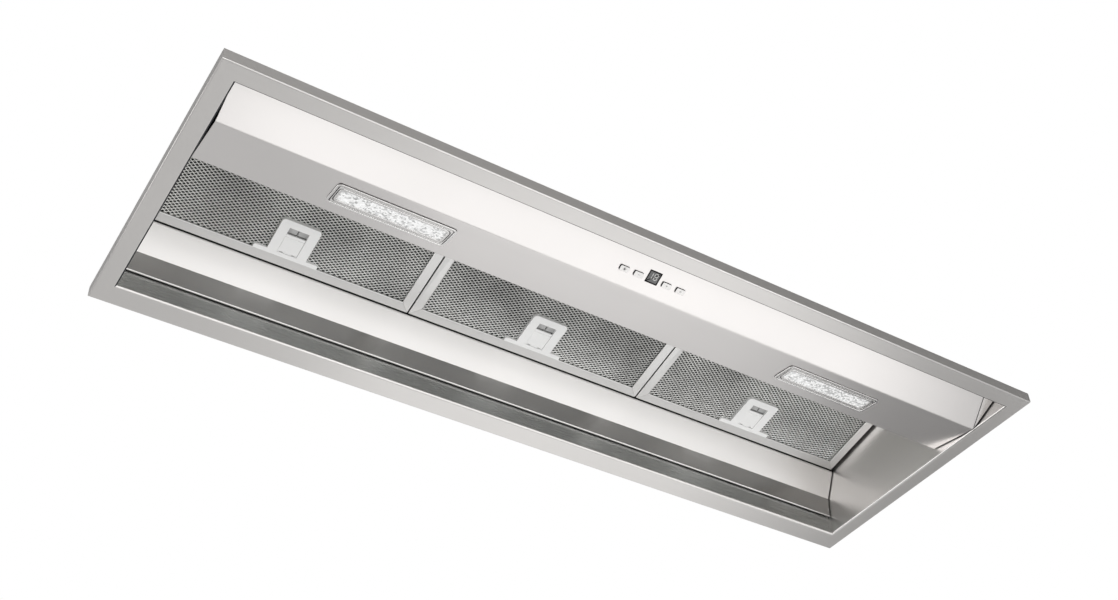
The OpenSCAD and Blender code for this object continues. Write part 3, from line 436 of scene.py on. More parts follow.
# Each finish has its kind, a colour of the panel or its own, that colour's share, and the kind's settings
FINISHES = {
    "flange steel along": (brushed_steel, "steel", 1, 0.34, X),
    "flange steel across": (brushed_steel, "steel", 1, 0.34, Y),
    # The bends are the flange steel darkened to 0.86: painted shade on the bends
    "flange bend along": (brushed_steel, "steel", 0.86, 0.34, X),
    "flange bend across": (brushed_steel, "steel", 0.86, 0.34, Y),
    # The side walls are the flange steel made lighter by 1.38: painted light for their brighter reflections
    "wall steel": (brushed_steel, "steel", 1.38, 0.3, Y, 0.3, 0.003),
    "back wall steel": (brushed_steel, "back", 1, 0.27, X, 0.4),
    "bar steel": (brushed_steel, "bar", 1, 0.28, X, 0.6, 0.005),
    "baffle steel": (brushed_steel, "baffle", 1, 0.42, X, 0.8),
    # The hem is the baffle steel darkened to 0.68: painted shade
    "hem steel": (brushed_steel, "baffle", 0.68, 0.2, X, 0.4),
    # The canopy sheet darkened to 0.12: painted shade for sheet seen only in gaps and behind the rear rail
    "shaded sheet": (brushed_steel, "canopy", 0.12, 0.45, X, 0.3),
    "canopy sheet": (brushed_steel, "canopy", 1, 0.4, X, 0.3, 0.05),
    "bezel steel": (brushed_steel, "bezel", 1, 0.22, X, 0.3),
    "rail aluminium along": (brushed_steel, "rail", 1, 0.42, X, 0.3),
    # The side rails are the rail aluminium made lighter by 1.22: painted light
    "rail aluminium across": (brushed_steel, "rail", 1.22, 0.42, Y, 0.3),
    "mesh aluminium": (plain_metal, "mesh", 1.12, 0.3, 600, 0.2, 0.72),
    # The back sheet and the core are the mesh aluminium darkened to 0.3 and 0.015: painted shade of the
    # inner layers
    "inner mesh": (plain_metal, "mesh", 0.3, 0.45, 600, 0.2, 0.15),
    "mesh core": (woven_core, "mesh", 0.015),
    "plated steel": (plain_metal, (0.7, 0.7, 0.69), 1, 0.2, 900, 0.05),
    "spring wire": (plain_metal, (0.72, 0.72, 0.71), 1, 0.35, 900, 0.05),
    "cast alloy": (plain_metal, (0.42, 0.42, 0.42), 1, 0.5, 350, 0.5),
    "zinc plate": (zinc_plate, "zinc", 1),
    "latch plastic": (moulding, "latch", 1, 0.34, 1500, 0.08),
    # The latch plastic darkened to 0.52: painted shade in the finger window
    "latch recess": (moulding, "latch", 0.52, 0.5, 1500, 0.08),
    "button plating": (plain_metal, "key", 1, 0.27, 1500, 0.02),
    # Dark moulding on the buttons' sides: painted shade round each button
    "button side": (moulding, "dark", 0.6, 0.6, 1400, 0.15, 0, 0.1),
    # Dark moulding colour for painted shadow lines on the flange's rolls, the tabs' sides and the lamp
    # frames
    "seam shade": (moulding, "dark", 1, 0.6, 1400, 0.15, 0, 0.1),
    "lamp mark": (moulding, (0.03, 0.03, 0.03), 1, 0.4),
    "button mark": (moulding, (0.13, 0.13, 0.13), 1, 0.4),
    "display window": (moulding, "smoked", 1, 0.14, 1500, 0.02, 0.1),
    "display border": (moulding, "smoked", 0.1, 0.5, 1500, 0.02, 0, 0.15),
    "display figure": (moulding, (0.48, 0.48, 0.47), 1, 0.3, 1500, 0.02),
    "lamp lens": (lamp_lens, "lens", 1),
    "lamp board": (moulding, (0.86, 0.86, 0.83), 1, 0.4, 900, 0.05),
    "lamp chip": (moulding, (0.85, 0.62, 0.16), 1, 0.35, 900, 0.05),
    "circuit board": (circuit, "board", 1),
    "white moulding": (moulding, "white", 1, 0.38, 900, 0.12),
    "dark moulding": (moulding, "dark", 1, 0.42, 900, 0.2),
    "fan moulding": (moulding, "dark", 0.8, 0.36, 700, 0.12),
    "motor paint": (moulding, (0.035, 0.036, 0.04), 1, 0.38, 300, 0.25, 0.3),
}


def finish_named(name):
    """The material of that name, made when it is first asked for."""
    if name not in bpy.data.materials:
        kind, tint, amount, *settings = FINISHES[name]
        if isinstance(tint, str):
            tint = getattr(bpy.context.scene.hood_colours, tint)
        kind(name, toned(tint, amount), *settings)
    return bpy.data.materials[name]


# Shapes


def copy_of(node, place=Matrix()):
    """A CAD node's skin with its flat faces whole, seen from the frame of its place."""
    bm = bmesh.new()
    bm.from_mesh(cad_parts[node].data)
    bmesh.ops.remove_doubles(bm, verts=bm.verts, dist=0.002 * MM)
    bmesh.ops.dissolve_limit(bm, angle_limit=math.radians(0.4), verts=bm.verts, edges=bm.edges)
    bmesh.ops.transform(bm, matrix=place.inverted(), verts=bm.verts)
    return bm


def sharp_edges(bm, angle=32, convex=True):
    limit = math.radians(angle)
    return [
        e for e in bm.edges
        if len(e.link_faces) == 2 and e.calc_face_angle() > limit and (e.is_convex or not convex)
    ]


def is_near(value, *targets):
    return any(abs(value - target) < NEAR for target in targets)


def edges_where(edges, test):
    """The edges whose two ends both pass the test."""
    return [e for e in edges if all(test(v.co) for v in e.verts)]


def round_edges(bm, edges, radius, segments=2, clamp=True):
    if edges:
        bmesh.ops.bevel(
            bm, geom=edges, offset=radius, offset_type="OFFSET", segments=segments, profile=0.5,
            affect="EDGES", clamp_overlap=clamp, material=-1, loop_slide=True,
        )


def level_faces(bm, z):
    return [f for f in bm.faces if all(is_near(v.co.z, z) for v in f.verts)]


def lowest(bm):
    return min(v.co.z for v in bm.verts)


def round_where(bm, test, radius, segments=2, angle=32):
    """Rounds the sharp edges whose two ends both pass the test."""
    round_edges(bm, edges_where(sharp_edges(bm, angle), test), radius, segments)


def round_level(bm, z, radius, segments):
    """Rounds the sharp edges that lie at one height."""
    round_where(bm, lambda c: is_near(c.z, z), radius, segments)


def verts_in(geometry):
    return [part for part in geometry if isinstance(part, bmesh.types.BMVert)]


def edges_in(geometry):
    return [part for part in geometry if isinstance(part, bmesh.types.BMEdge)]


def move(bm, verts, x=0, y=0, z=0):
    bmesh.ops.translate(bm, verts=verts, vec=(x, y, z))


def is_side(face, middle=None):
    """True for a face that stands more than it lies."""
    return abs(face.normal.z) < 0.3


def pull_out(bm, faces, z, keep=True):
    """Extrudes flat faces along Z, with or without the faces themselves, and returns what moved."""
    grown = bmesh.ops.extrude_face_region(bm, geom=faces)["geom"]
    if not keep:
        bmesh.ops.delete(bm, geom=faces, context="FACES_ONLY")
    moved = verts_in(grown)
    move(bm, moved, z=z)
    return moved


def pick_finish(bm, rule):
    """Gives each face the finish whose number the rule returns, where False and True are the first two."""
    for face in bm.faces:
        face.material_index = int(rule(face, face.calc_center_median()))


def inset_steps(bm, faces, steps, **options):
    """Insets faces step by step, and returns the band of faces that each step makes."""
    options["use_even_offset"] = True
    return [
        bmesh.ops.inset_region(bm, faces=faces, thickness=width, depth=rise, **options)["faces"]
        for width, rise in steps
    ]


def cut_through(bm, point, normal, drop_outer=False):
    geometry = bm.verts[:] + bm.edges[:] + bm.faces[:]
    return bmesh.ops.bisect_plane(
        bm, geom=geometry, dist=NEAR / 10, plane_co=point, plane_no=normal, clear_outer=drop_outer
    )


def clip_ends(bm, reach):
    """Pushes the ends of a long shape back to the same distance from its middle."""
    for vert in bm.verts:
        vert.co.x = max(-reach, min(reach, vert.co.x))


def mesh_of(name, bm):
    """Writes a shape as a mesh and uses the shape up."""
    mesh = bpy.data.meshes.new(name)
    bm.to_mesh(mesh)
    bm.free()
    return mesh


def put_in_scene(name, data):
    thing = bpy.data.objects.new(name, data)
    bpy.context.scene.collection.objects.link(thing)
    return thing


def join_into(bm, part, place=Matrix()):
    """Adds a copy of another shape, which is used up."""
    bmesh.ops.transform(part, matrix=place, verts=part.verts)
    mesh = mesh_of("part", part)
    bm.from_mesh(mesh)
    bpy.data.meshes.remove(mesh)


def make_piece(name, bm, body, finishes, nodes=(), place=Matrix(), smooth_angle=35, weighted=True):
    """Writes one piece in its place and hangs it on its body."""
    bmesh.ops.transform(bm, matrix=place, verts=bm.verts)
    mesh = mesh_of(name, bm)
    for finish in finishes:
        mesh.materials.append(finish_named(finish))
    mesh.shade_smooth()
    mesh.set_sharp_from_angle(angle=math.radians(smooth_angle))
    piece = put_in_scene(name, mesh)
    if weighted:
        piece.modifiers.new("Flat faces", "WEIGHTED_NORMAL").keep_sharp = True
    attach(piece, body)
    if nodes:
        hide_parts(*nodes)
    return piece


def dress(name, node, finish, body="hood", edge=None, segments=2):
    """A CAD node's copy with softened edges and its finish."""
    bm = copy_of(node)
    round_edges(bm, sharp_edges(bm), sizes().edge if edge is None else edge, segments)
    return make_piece(name, bm, body, [finish], [node])


# Tray


def is_inner_face(face):
    """True for the flange's faces towards its opening."""
    middle = face.calc_center_median()
    on_end = is_near(abs(middle.x), INSIDE_X)
    return abs(face.normal.z) < 0.1 and (on_end or is_near(middle.y, INSIDE_FRONT_Y, INSIDE_BACK_Y))


def roll_inner_edge(bm, radius, steps=6):
    """Turns the flange's inner edge up towards the walls, in a quarter of a circle."""
    bmesh.ops.delete(bm, geom=[f for f in bm.faces if is_inner_face(f)], context="FACES_ONLY")
    edges = [e for e in bm.edges if e.is_boundary]
    verts = list({v for e in edges for v in e.verts})
    arcs = {True: radius, False: radius - SHEET_T}
    low_z, before = 0, {True: 0, False: 0}
    for step in range(steps + 1):
        turn = math.radians(90 * step / steps)
        if step:
            grown = bmesh.ops.extrude_edge_only(bm, edges=edges)["geom"]
            edges, verts = edges_in(grown), verts_in(grown)
        inward = {is_low: arc * math.sin(turn) - radius for is_low, arc in arcs.items()}
        for vert in verts:
            is_low = abs(vert.co.z - low_z) < NEAR
            shift = inward[is_low] - before[is_low]
            vert.co.x -= shift * math.copysign(1, vert.co.x)
            vert.co.y -= shift * math.copysign(1, vert.co.y)
            vert.co.z = radius - arcs[is_low] * math.cos(turn)
        low_z, before = radius - radius * math.cos(turn), inward
    bmesh.ops.bridge_loops(bm, edges=edges)
    bmesh.ops.recalc_face_normals(bm, faces=bm.faces)


def flange_finish(face, middle):
    """The finish of a face: brushed along its side, with painted shade on a bend, and a painted shadow line
    where the front and left edges roll up to the walls.
    """
    normal = face.normal
    is_across = END_X - abs(middle.x) < min(middle.y - FRONT_Y, BACK_Y - middle.y)
    is_bend = -0.99 < normal.z < -0.05
    # The front and left rolls are painted dark: a painted shadow line where the flange meets the walls
    is_painted_roll_shadow = is_bend and (normal.y > 0.2 and middle.y < 0 or normal.x > 0.2 and middle.x < 0)
    return 4 if is_painted_roll_shadow else 2 * is_bend + is_across


def steel_flange():
    """The flange with its bent edges, mitred where the brushing turns at the corners."""
    bm = copy_of("flange_frame")
    roll_inner_edge(bm, sizes().roll)
    low = edges_where(sharp_edges(bm), lambda c: is_near(c.z, 0))
    outer = edges_where(low, lambda c: is_near(abs(c.x), END_X) or is_near(c.y, FRONT_Y, BACK_Y))
    round_edges(bm, outer, sizes().bend, 4, False)
    round_where(bm, lambda c: c.z > 2 * sizes().bend, sizes().edge)
    for x in (-END_X, END_X):
        for y in (FRONT_Y, BACK_Y):
            cut_through(bm, (x, y, 0), Vector((math.copysign(1, x), math.copysign(1, y), 0)))
    pick_finish(bm, flange_finish)
    finishes = [
        "flange steel along", "flange steel across", "flange bend along", "flange bend across", "seam shade",
    ]
    make_piece("steel_flange", bm, "hood", finishes, ["flange_frame"])


def wall(name, node, finish):
    """A wall of the tray, which starts where the flange's rolled edge ends."""
    bm = copy_of(node)
    foot = [v for v in bm.verts if is_near(v.co.z, SHEET_T)]
    for vert in foot:
        vert.co.z = sizes().roll
    round_edges(bm, [e for e in sharp_edges(bm) if not set(e.verts) & set(foot)], sizes().edge)
    make_piece(name, bm, "hood", [finish], [node])


def build_tray():
    steel_flange()
    # The side walls take a lighter copy of the flange steel: painted light
    wall("left_wall", "side_panel_left", "wall steel")
    wall("right_wall", "side_panel_right", "wall steel")
    wall("back_wall", "rear_wall", "back wall steel")
    wall("front_wall", "front_panel", "canopy sheet")
    dress("roof", "canopy_top", "canopy sheet")


# Light bar and what is behind the filters


def folded_bar():
    """The light bar, whose long folds are soft."""
    bm = copy_of("light_bar")
    clip_ends(bm, BAR_END_X)

    def is_fold(e):
        """True for the outer line of a fold, on the side that is seen from below."""
        return e.calc_length() > 1.8 * BAR_END_X and e.is_convex

    folds = [e for e in sharp_edges(bm, 8) if is_fold(e)]
    low = [e for e in folds if any(is_near(v.co.z, FOLD.z) for v in e.verts)]
    round_edges(bm, low, sizes().fold, 5, False)
    steps = [e for e in sharp_edges(bm, 50) if is_fold(e) and e.verts[0].co.z < BAR_STEP_Z]
    round_edges(bm, steps, BAR_STEP_R, 3, False)
    round_edges(bm, sharp_edges(bm, 50), BAR_EDGE_R, 1)
    make_piece("folded_bar", bm, "hood", ["bar steel"], ["light_bar"])


def bar_end_tabs():
    """The thin corner plate on each end of the control face, its sides painted dark as a shadow line."""
    (start_x, start_y), (end_x, end_y) = TAB_LINE
    bm = bmesh.new()
    for side in (-1, 1):
        corners = [(side * start_x, start_y, 0), (side * end_x, start_y, 0), (side * end_x, end_y, 0)]
        bm.faces.new([bm.verts.new(corner) for corner in corners])
    pull_out(bm, bm.faces[:], -TAB_T)
    bmesh.ops.recalc_face_normals(bm, faces=bm.faces)
    # The tabs' sides take the dark moulding colour: a painted shadow line
    pick_finish(bm, is_side)
    finishes = ["bar steel", "seam shade"]
    make_piece("bar_end_tabs", bm, "hood", finishes, (), on_control_face(0, 0), weighted=False)


def bar_end_stiffeners():
    """The plates inside the bar's ends, which the gaps show, painted nearly black as shade."""
    bm = copy_of("bar_end_plates")
    clip_ends(bm, BAR_END_X - PLATE_GAP)
    round_edges(bm, sharp_edges(bm), sizes().edge)
    make_piece("bar_end_stiffeners", bm, "hood", ["shaded sheet"], ["bar_end_plates"])


def build_bar():
    folded_bar()
    bar_end_tabs()
    bar_end_stiffeners()
    dress("bar_partition", "partition", "canopy sheet")


def build_baffle():
    bm = copy_of("rear_baffle")
    round_edges(bm, sharp_edges(bm), BAFFLE_EDGE_R)
    # The upright above this height is painted nearly black: painted shade behind the rear rail
    cut_through(bm, (0, 0, PAINTED_SHADE_Z), (0, 0, 1))
    pick_finish(bm, lambda face, middle: middle.z > PAINTED_SHADE_Z)
    make_piece("baffle_panel", bm, "hood", ["baffle steel", "shaded sheet"], ["rear_baffle"])
    # The hem takes a darker copy of the baffle steel: painted shade
    dress("baffle_hem", "baffle_strip", "hem steel", edge=0.15 * MM)
    # The filter rest is painted nearly black as shade too
    dress("filter_rest", "rear_filter_rest", "shaded sheet")
    dress("filter_hook_ledge", "filter_ledge", "canopy sheet")


# Lamps


def stepped_bezel(side, x):
    """A pressed lamp frame with a raised rim, a lower band and a second rim round the opening; the groove,
    the lower band and the outer sides next to the light face are painted dark as shade.
    """
    place = on_light_face(x, LIGHT_MIDDLE)
    node = f"light_bezel_{side}"
    bm = copy_of(node, place)
    low_z = lowest(bm)
    _, groove, floor, _ = inset_steps(bm, level_faces(bm, low_z), BEZEL_STEPS, use_boundary=True)
    round_level(bm, low_z, BEZEL_EDGE_R, 2)
    cut_through(bm, (0, 0, low_z + PAINTED_SIDE_SHADOW_H), (0, 0, 1))

    # Faces painted dark as shade: the groove, the lower band and the outer sides next to the light face
    def is_painted_frame_shade(face, middle):
        is_outside = abs(middle.x) > LAMP_HALF_W or abs(middle.y) > LAMP_HALF_L
        is_painted_side_shadow = is_outside and is_side(face) and low_z + PAINTED_SIDE_SHADOW_H < middle.z < 0
        return is_painted_side_shadow or face in floor or face in groove

    pick_finish(bm, is_painted_frame_shade)
    make_piece(f"lamp_frame_{side}", bm, "hood", ["bezel steel", "seam shade"], [node], place)


def stepped_lens(side, x):
    """A lens with a raised middle and sloped sides."""
    place = on_light_face(x, LIGHT_MIDDLE)
    node = f"light_lens_{side}"
    bm = copy_of(node, place)
    low_z = lowest(bm)
    front = bmesh.ops.dissolve_faces(bm, faces=level_faces(bm, low_z))["region"]
    inset_steps(bm, front, LENS_STEPS)
    round_where(bm, lambda c: c.z < low_z + NEAR, LENS_EDGE_R, 3, 8)
    make_piece(f"lamp_lens_{side}", bm, "hood", ["lamp lens"], [node], place, 60)


def lamp_boards():
    """The two boards, with their chips in their own colour."""
    place = on_light_face(0, LIGHT_MIDDLE)
    bm = copy_of("led_boards", place)
    chip_z = max(v.co.z for v in bm.verts) - CHIP_DEPTH
    pick_finish(bm, lambda face, middle: middle.z < chip_z)
    make_piece("lamp_boards", bm, "hood", ["lamp board", "lamp chip"], ["led_boards"], place)


def build_lamps():
    for side, x in (("left", -LIGHT_X), ("right", LIGHT_X)):
        stepped_bezel(side, x)
        stepped_lens(side, x)
    lamp_boards()
    dress("lamp_heat_sinks", "light_housings", "cast alloy", edge=0.3 * MM)


# Controls


def flat_mark(outline, thickness=INK_T):
    """Raises a flat outline below the face that it is printed on."""
    pull_out(outline, outline.faces[:], -thickness)
    bmesh.ops.recalc_face_normals(outline, faces=outline.faces)
    return outline


def bar_mark(width, run, x=0, y=0):
    bm = bmesh.new()
    place = Matrix.Translation((x, y, 0)) @ Matrix.Diagonal((width, run, 1, 1))
    bmesh.ops.create_grid(bm, x_segments=1, y_segments=1, size=0.5, matrix=place)
    return flat_mark(bm)


def ring_mark(radius, width, cut_top=False):
    bm = bmesh.new()
    bmesh.ops.create_circle(bm, segments=24, radius=radius, cap_ends=True)
    middle = bm.faces[:]
    if width < radius:
        inset_steps(bm, middle, [(width, 0)], use_boundary=True)
        bmesh.ops.delete(bm, geom=middle, context="FACES")
    if cut_top:
        gap = [f for f in bm.faces if f.calc_center_median().y < -0.8 * radius]
        bmesh.ops.delete(bm, geom=gap, context="FACES")
    return flat_mark(bm)


def key_marks(number):
    """A plain symbol for each button: lamp, slower, faster, and on or off."""
    dash, line, fine = 2.6 * MM, 0.45 * MM, 0.35 * MM
    if number == 1:
        shapes = [ring_mark(1.3 * MM, 1.3 * MM), ring_mark(2.4 * MM, 0.25 * MM)]
    elif number == 2:
        shapes = [bar_mark(dash, line)]
    elif number == 3:
        shapes = [bar_mark(dash, line), bar_mark(line, dash)]
    else:
        shapes = [ring_mark(1.35 * MM, fine, True), bar_mark(fine, 1.5 * MM, 0, -0.9 * MM)]
    bm = bmesh.new()
    for shape in shapes:
        join_into(bm, shape)
    return bm


def key(number, place_number):
    """A button and the symbol on its face."""
    place = on_control_face(place_number * BUTTON_PITCH, BUTTON_Y)
    node, body = f"button_{number}", f"key_{number}"
    bm = copy_of(node, place)
    low_z = lowest(bm)
    round_level(bm, low_z, KEY_EDGE_R, 2)
    # The buttons' sides are painted dark: painted shade round each button
    pick_finish(bm, is_side)
    finishes = ["button plating", "button side"]
    make_piece(f"key_cap_{number}", bm, body, finishes, [node], place)
    marks = key_marks(number)
    move(marks, marks.verts, z=low_z + SUNK)
    ink = "lamp mark" if number == 1 else "button mark"
    make_piece(f"key_symbol_{number}", marks, body, [ink], (), place, weighted=False)


def segment(length_of_bar, thickness, x, y, upright):
    """One bar of a seven-bar figure, pointed at both ends."""
    bm = bmesh.new()
    bmesh.ops.create_circle(bm, segments=6, radius=thickness / 2, cap_ends=True)
    reach = length_of_bar / 2 - thickness / 2
    for vert in bm.verts:
        vert.co.x += math.copysign(reach, vert.co.x)
    turn = Matrix.Rotation(math.pi / 2 if upright else 0, 4, "Z")
    bmesh.ops.transform(bm, matrix=Matrix.Translation((x, y, 0)) @ turn, verts=bm.verts)
    return flat_mark(bm, FIGURE_T)


def figures():
    """Two plain figures made of short bars, as an unlit display shows them."""
    bm = bmesh.new()
    half, bar = 1.9 * MM, 1.0 * MM
    reach = 2 * half - bar / 2
    for x, upright_sides, level_steps in ((-3.4 * MM, (1,), ()), (3.2 * MM, (-1, 1), (-2, 0, 2))):
        for step in level_steps:
            join_into(bm, segment(reach, bar, x, step * half, False))
        for side in upright_sides:
            for step in (-1, 1):
                join_into(bm, segment(reach, bar, x + side * half, step * half, True))
    return bm


def display():
    place = on_control_face(0, DISPLAY_Y)
    bm = copy_of("display_window", place)
    for face in inset_steps(bm, level_faces(bm, lowest(bm)), [BORDER_STEP])[0]:
        face.material_index = 1
    finishes = ["display window", "display border"]
    make_piece("display_glass", bm, "hood", finishes, ["display_window"], place)

    marks = figures()
    bmesh.ops.scale(marks, verts=marks.verts, vec=(FIGURE_SCALE, FIGURE_SCALE, 1))
    move(marks, marks.verts, *FIGURE_SHIFT, SUNK)
    finishes = ["display figure"]
    make_piece("display_figures", marks, "hood", finishes, (), place, weighted=False)


def build_controls():
    for number, place_number in KEY_PLACES.items():
        key(number, place_number)
    display()
    dress("key_board", "control_board", "circuit board", edge=0.15 * MM)
    dress("key_board_tray", "board_tray", "dark moulding", edge=0.4 * MM)


# Filters and latches, in the frame of a filter's front edge


def hang(name, bm, side, finishes, node="", body="filter", shift=Matrix(), weighted=True):
    """Puts a shape that was made in a filter's own frame on the filter of that side."""
    place = on_filter(PLACES[side]) @ shift
    nodes = [f"{node}_{side}"] if node else ()
    return make_piece(
        f"{name}_{side}", bm, f"{body}_{side}", finishes, nodes, place, weighted=weighted
    )


def mitred_rails(side):
    """Four rails that meet in fine mitres, with rounded edges."""
    half_w, gap = FILTER_W / 2, sizes().mitre / 2
    places = ((-half_w, 0), (half_w, 0), (half_w, FILTER_L), (-half_w, FILTER_L))
    corners = [Vector((x, y, 0)) for x, y in places]
    bm = bmesh.new()
    for start, end in zip(corners, corners[1:] + corners[:1]):
        rail = copy_of("filter_frame_middle", on_filter(0))
        along = (end - start).normalized()
        inward = Vector((-along.y, along.x, 0))
        for corner, ahead in ((start, along), (end, -along)):
            outward = inward - ahead
            cut = cut_through(rail, corner - gap * outward.normalized(), outward, True)
            bmesh.ops.edgeloop_fill(rail, edges=edges_in(cut["geom_cut"]))
        join_into(bm, rail)
    low = edges_where(sharp_edges(bm), lambda c: is_near(c.z, 0))
    round_edges(bm, [e for e in low if e.calc_length() > 2 * RAIL_W], sizes().rail_edge, 3, False)
    # The side rails take a lighter copy of the rail aluminium: painted light
    pick_finish(bm, lambda face, middle: half_w - abs(middle.x) < min(middle.y, FILTER_L - middle.y))
    finishes = ["rail aluminium along", "rail aluminium across"]
    hang("rails", bm, side, finishes, "filter_frame")


def expanded_sheet(z, turned=False):
    """One sheet of expanded metal: a net of diamonds whose strands lean out of the sheet."""
    reach_x, reach_y = FILTER_W / 2 - MESH_MARGIN, FILTER_L / 2 - MESH_MARGIN
    count = 2 * math.ceil(reach_x / sizes().mesh_long + reach_y / sizes().mesh_short)
    step_x, step_y = sizes().mesh_long / 2, sizes().mesh_short / 2
    spread = Matrix(((step_x, step_x, 0, 0), (step_y, -step_y, 0, 0), (0, 0, 1, 0), (0, 0, 0, 1)))
    turn = Matrix.Rotation(math.pi / 2 if turned else 0, 4, "Z")
    bm = bmesh.new()
    bmesh.ops.create_grid(bm, x_segments=count, y_segments=count, size=count / 2, matrix=turn @ spread)
    latch_front = LATCH_FRONT_Y - FILTER_L / 2 + LATCH_OVERLAP

    def is_outside(c):
        under_latch = abs(c.x) < LATCH_HALF_W - LATCH_OVERLAP and c.y > latch_front
        return abs(c.x) > reach_x or abs(c.y) > reach_y or under_latch

    bmesh.ops.delete(bm, geom=[f for f in bm.faces if is_outside(f.calc_center_median())], context="FACES")
    openings = bm.faces[:]
    bmesh.ops.inset_individual(
        bm, faces=openings, thickness=sizes().strand, depth=sizes().strand_rise, use_even_offset=True
    )
    bmesh.ops.delete(bm, geom=openings, context="FACES")
    for vert in bm.verts:
        vert.co.z += MESH_WAVE * noise.noise(vert.co * MESH_WAVE_SCALE)
    bmesh.ops.solidify(bm, geom=bm.faces[:], thickness=MESH_T)
    move(bm, bm.verts, z=z)
    return bm


def core_sheet():
    """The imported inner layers, as one gently waved sheet behind the two that show."""
    bm = bmesh.new()
    size = Matrix.Diagonal((FILTER_W - 2 * CORE_MARGIN, FILTER_L - 2 * CORE_MARGIN, 1, 1))
    lifted = Matrix.Translation((0, 0, CORE_Z)) @ size
    bmesh.ops.create_grid(bm, x_segments=60, y_segments=30, size=0.5, matrix=lifted)
    for vert in bm.verts:
        vert.co.z += CORE_WAVE * noise.noise(vert.co * CORE_WAVE_SCALE)
    bmesh.ops.solidify(bm, geom=bm.faces[:], thickness=CORE_T)
    return bm


def mesh_layers(side):
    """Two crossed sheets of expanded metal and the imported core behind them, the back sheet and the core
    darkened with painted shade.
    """
    shift = Matrix.Translation((0, FILTER_L / 2, 0))
    layers = (
        ("mesh_front", expanded_sheet(FRONT_MESH_Z), "mesh aluminium", "filter_mesh"),
        ("mesh_back", expanded_sheet(BACK_MESH_Z, True), "inner mesh", ""),
        ("mesh_core", core_sheet(), "mesh core", ""),
    )
    for name, bm, finish, node in layers:
        hang(name, bm, side, [finish], node, shift=shift, weighted=False)


def latch_plate(side):
    """The latch's plate and foot, with a scooped finger window whose inner faces are darkened with painted
    shade.
    """
    bm = copy_of("latch_body_middle", on_filter(0))
    for vert in bm.verts:
        vert.co.y = min(vert.co.y, FOOT_BACK_Y)
    hollow = sharp_edges(bm, convex=False)
    scoop = edges_where(hollow, lambda c: is_near(c.y, POCKET_FRONT_Y) and is_near(c.z, POCKET_TOP_Z))
    round_edges(bm, scoop, SCOOP_R, 5)
    round_level(bm, LATCH_LOW_Z, sizes().moulded, 3)

    def in_painted_window_shade(face, middle):
        in_window = POCKET_FRONT_Y < middle.y < WINDOW_BACK_Y and abs(middle.x) < WINDOW_HALF_W
        return in_window and middle.z > RECESS_LOW_Z and face.normal.z < 0.3

    pick_finish(bm, in_painted_window_shade)
    hang("latch_plate", bm, side, ["latch plastic", "latch recess"], "latch_body")


def latch_slide(side):
    """The slider, with a groove between its finger lip and its face."""
    bm = copy_of("latch_slider_middle", on_filter(0))
    for y in (GROOVE_Y - GROOVE_HALF_W, GROOVE_Y + GROOVE_HALF_W):
        cut_through(bm, (0, y, 0), (0, 1, 0))

    def in_groove(c):
        return is_near(c.z, SLIDER_LOW_Z) and abs(c.y - GROOVE_Y) < GROOVE_HALF_W

    groove = [f for f in bm.faces if in_groove(f.calc_center_median())]
    pull_out(bm, groove, GROOVE_DEPTH, keep=False)
    round_level(bm, SLIDER_LOW_Z, SLIDE_EDGE_R, 2)
    hang("latch_slide", bm, side, ["latch plastic"], "latch_slider", "slider")


def latch_coil(side):
    """A coil spring for the latch's slider."""
    turns, steps = sizes().coils, 18
    rise = (SPRING_L - 4 * WIRE_R) / turns
    bm = bmesh.new()
    section = Matrix.Translation((SPRING_R - WIRE_R, 2 * WIRE_R, 0))
    start = bmesh.ops.create_circle(bm, segments=8, radius=WIRE_R, matrix=section)["verts"]
    edges = list({e for v in start for e in v.link_edges})
    bmesh.ops.spin(
        bm, geom=edges, cent=(0, 0, 0), axis=(0, 1, 0), dvec=(0, rise / steps, 0),
        angle=turns * math.tau, steps=turns * steps, use_duplicate=False, use_merge=False,
    )
    bmesh.ops.holes_fill(bm, edges=[e for e in bm.edges if e.is_boundary], sides=0)
    bmesh.ops.recalc_face_normals(bm, faces=bm.faces)
    place, shift = on_filter(PLACES[side]), Matrix.Translation((0, SPRING_FRONT_Y, SPRING_Z))
    spring = hang(
        "latch_coil", bm, side, ["spring wire"], "latch_spring", shift=shift, weighted=False
    )
    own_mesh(spring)


def build_filters():
    for side in PLACES:
        mitred_rails(side)
        mesh_layers(side)
        latch_plate(side)
        latch_slide(side)
        latch_coil(side)


# Electrics and blower


def build_electrics():
    dress("lamp_driver", "led_driver", "white moulding", edge=0.8 * MM, segments=3)
    dress("wire_duct", "wiring_duct", "dark moulding", edge=0.3 * MM)
    dress("junction_tray", "junction_box", "zinc plate", edge=0.3 * MM)
    dress("junction_lid", "junction_cover", "zinc plate", edge=0.3 * MM)
    dress("entry_gland", "cable_gland", "dark moulding", edge=0.5 * MM)
    dress("terminals", "terminal_block", "white moulding", edge=0.4 * MM)
    dress("start_capacitor", "capacitor", "white moulding", edge=0.3 * MM)


def build_blower():
    dress("fan_housing", "blower_box", "zinc plate", edge=0.3 * MM)
    dress("fan_scroll", "scroll_wall", "zinc plate")
    dress("fan_inlet", "inlet_ring", "zinc plate")
    dress("fan_wheel", "impeller", "fan moulding", "fan", edge=0.15 * MM, segments=1)
    dress("fan_motor", "motor", "motor paint", edge=2 * MM, segments=4)
    dress("motor_cross", "motor_bracket", "zinc plate")
    dress("outlet_collar", "duct_collar", "zinc plate")
    for side in ("front", "rear"):
        dress(f"flap_{side}_leaf", f"damper_flap_{side}", "zinc plate", f"flap_{side}")
    dress("flap_pins", "damper_pins", "plated steel")


# Fixings


def islands(bm):
    """The groups of vertices that hang together."""
    left, groups = set(bm.verts), []
    while left:
        group, waiting = set(), [left.pop()]
        while waiting:
            vert = waiting.pop()
            group.add(vert)
            near = {e.other_vert(vert) for e in vert.link_edges} & left
            left -= near
            waiting.extend(near)
        groups.append(group)
    return groups


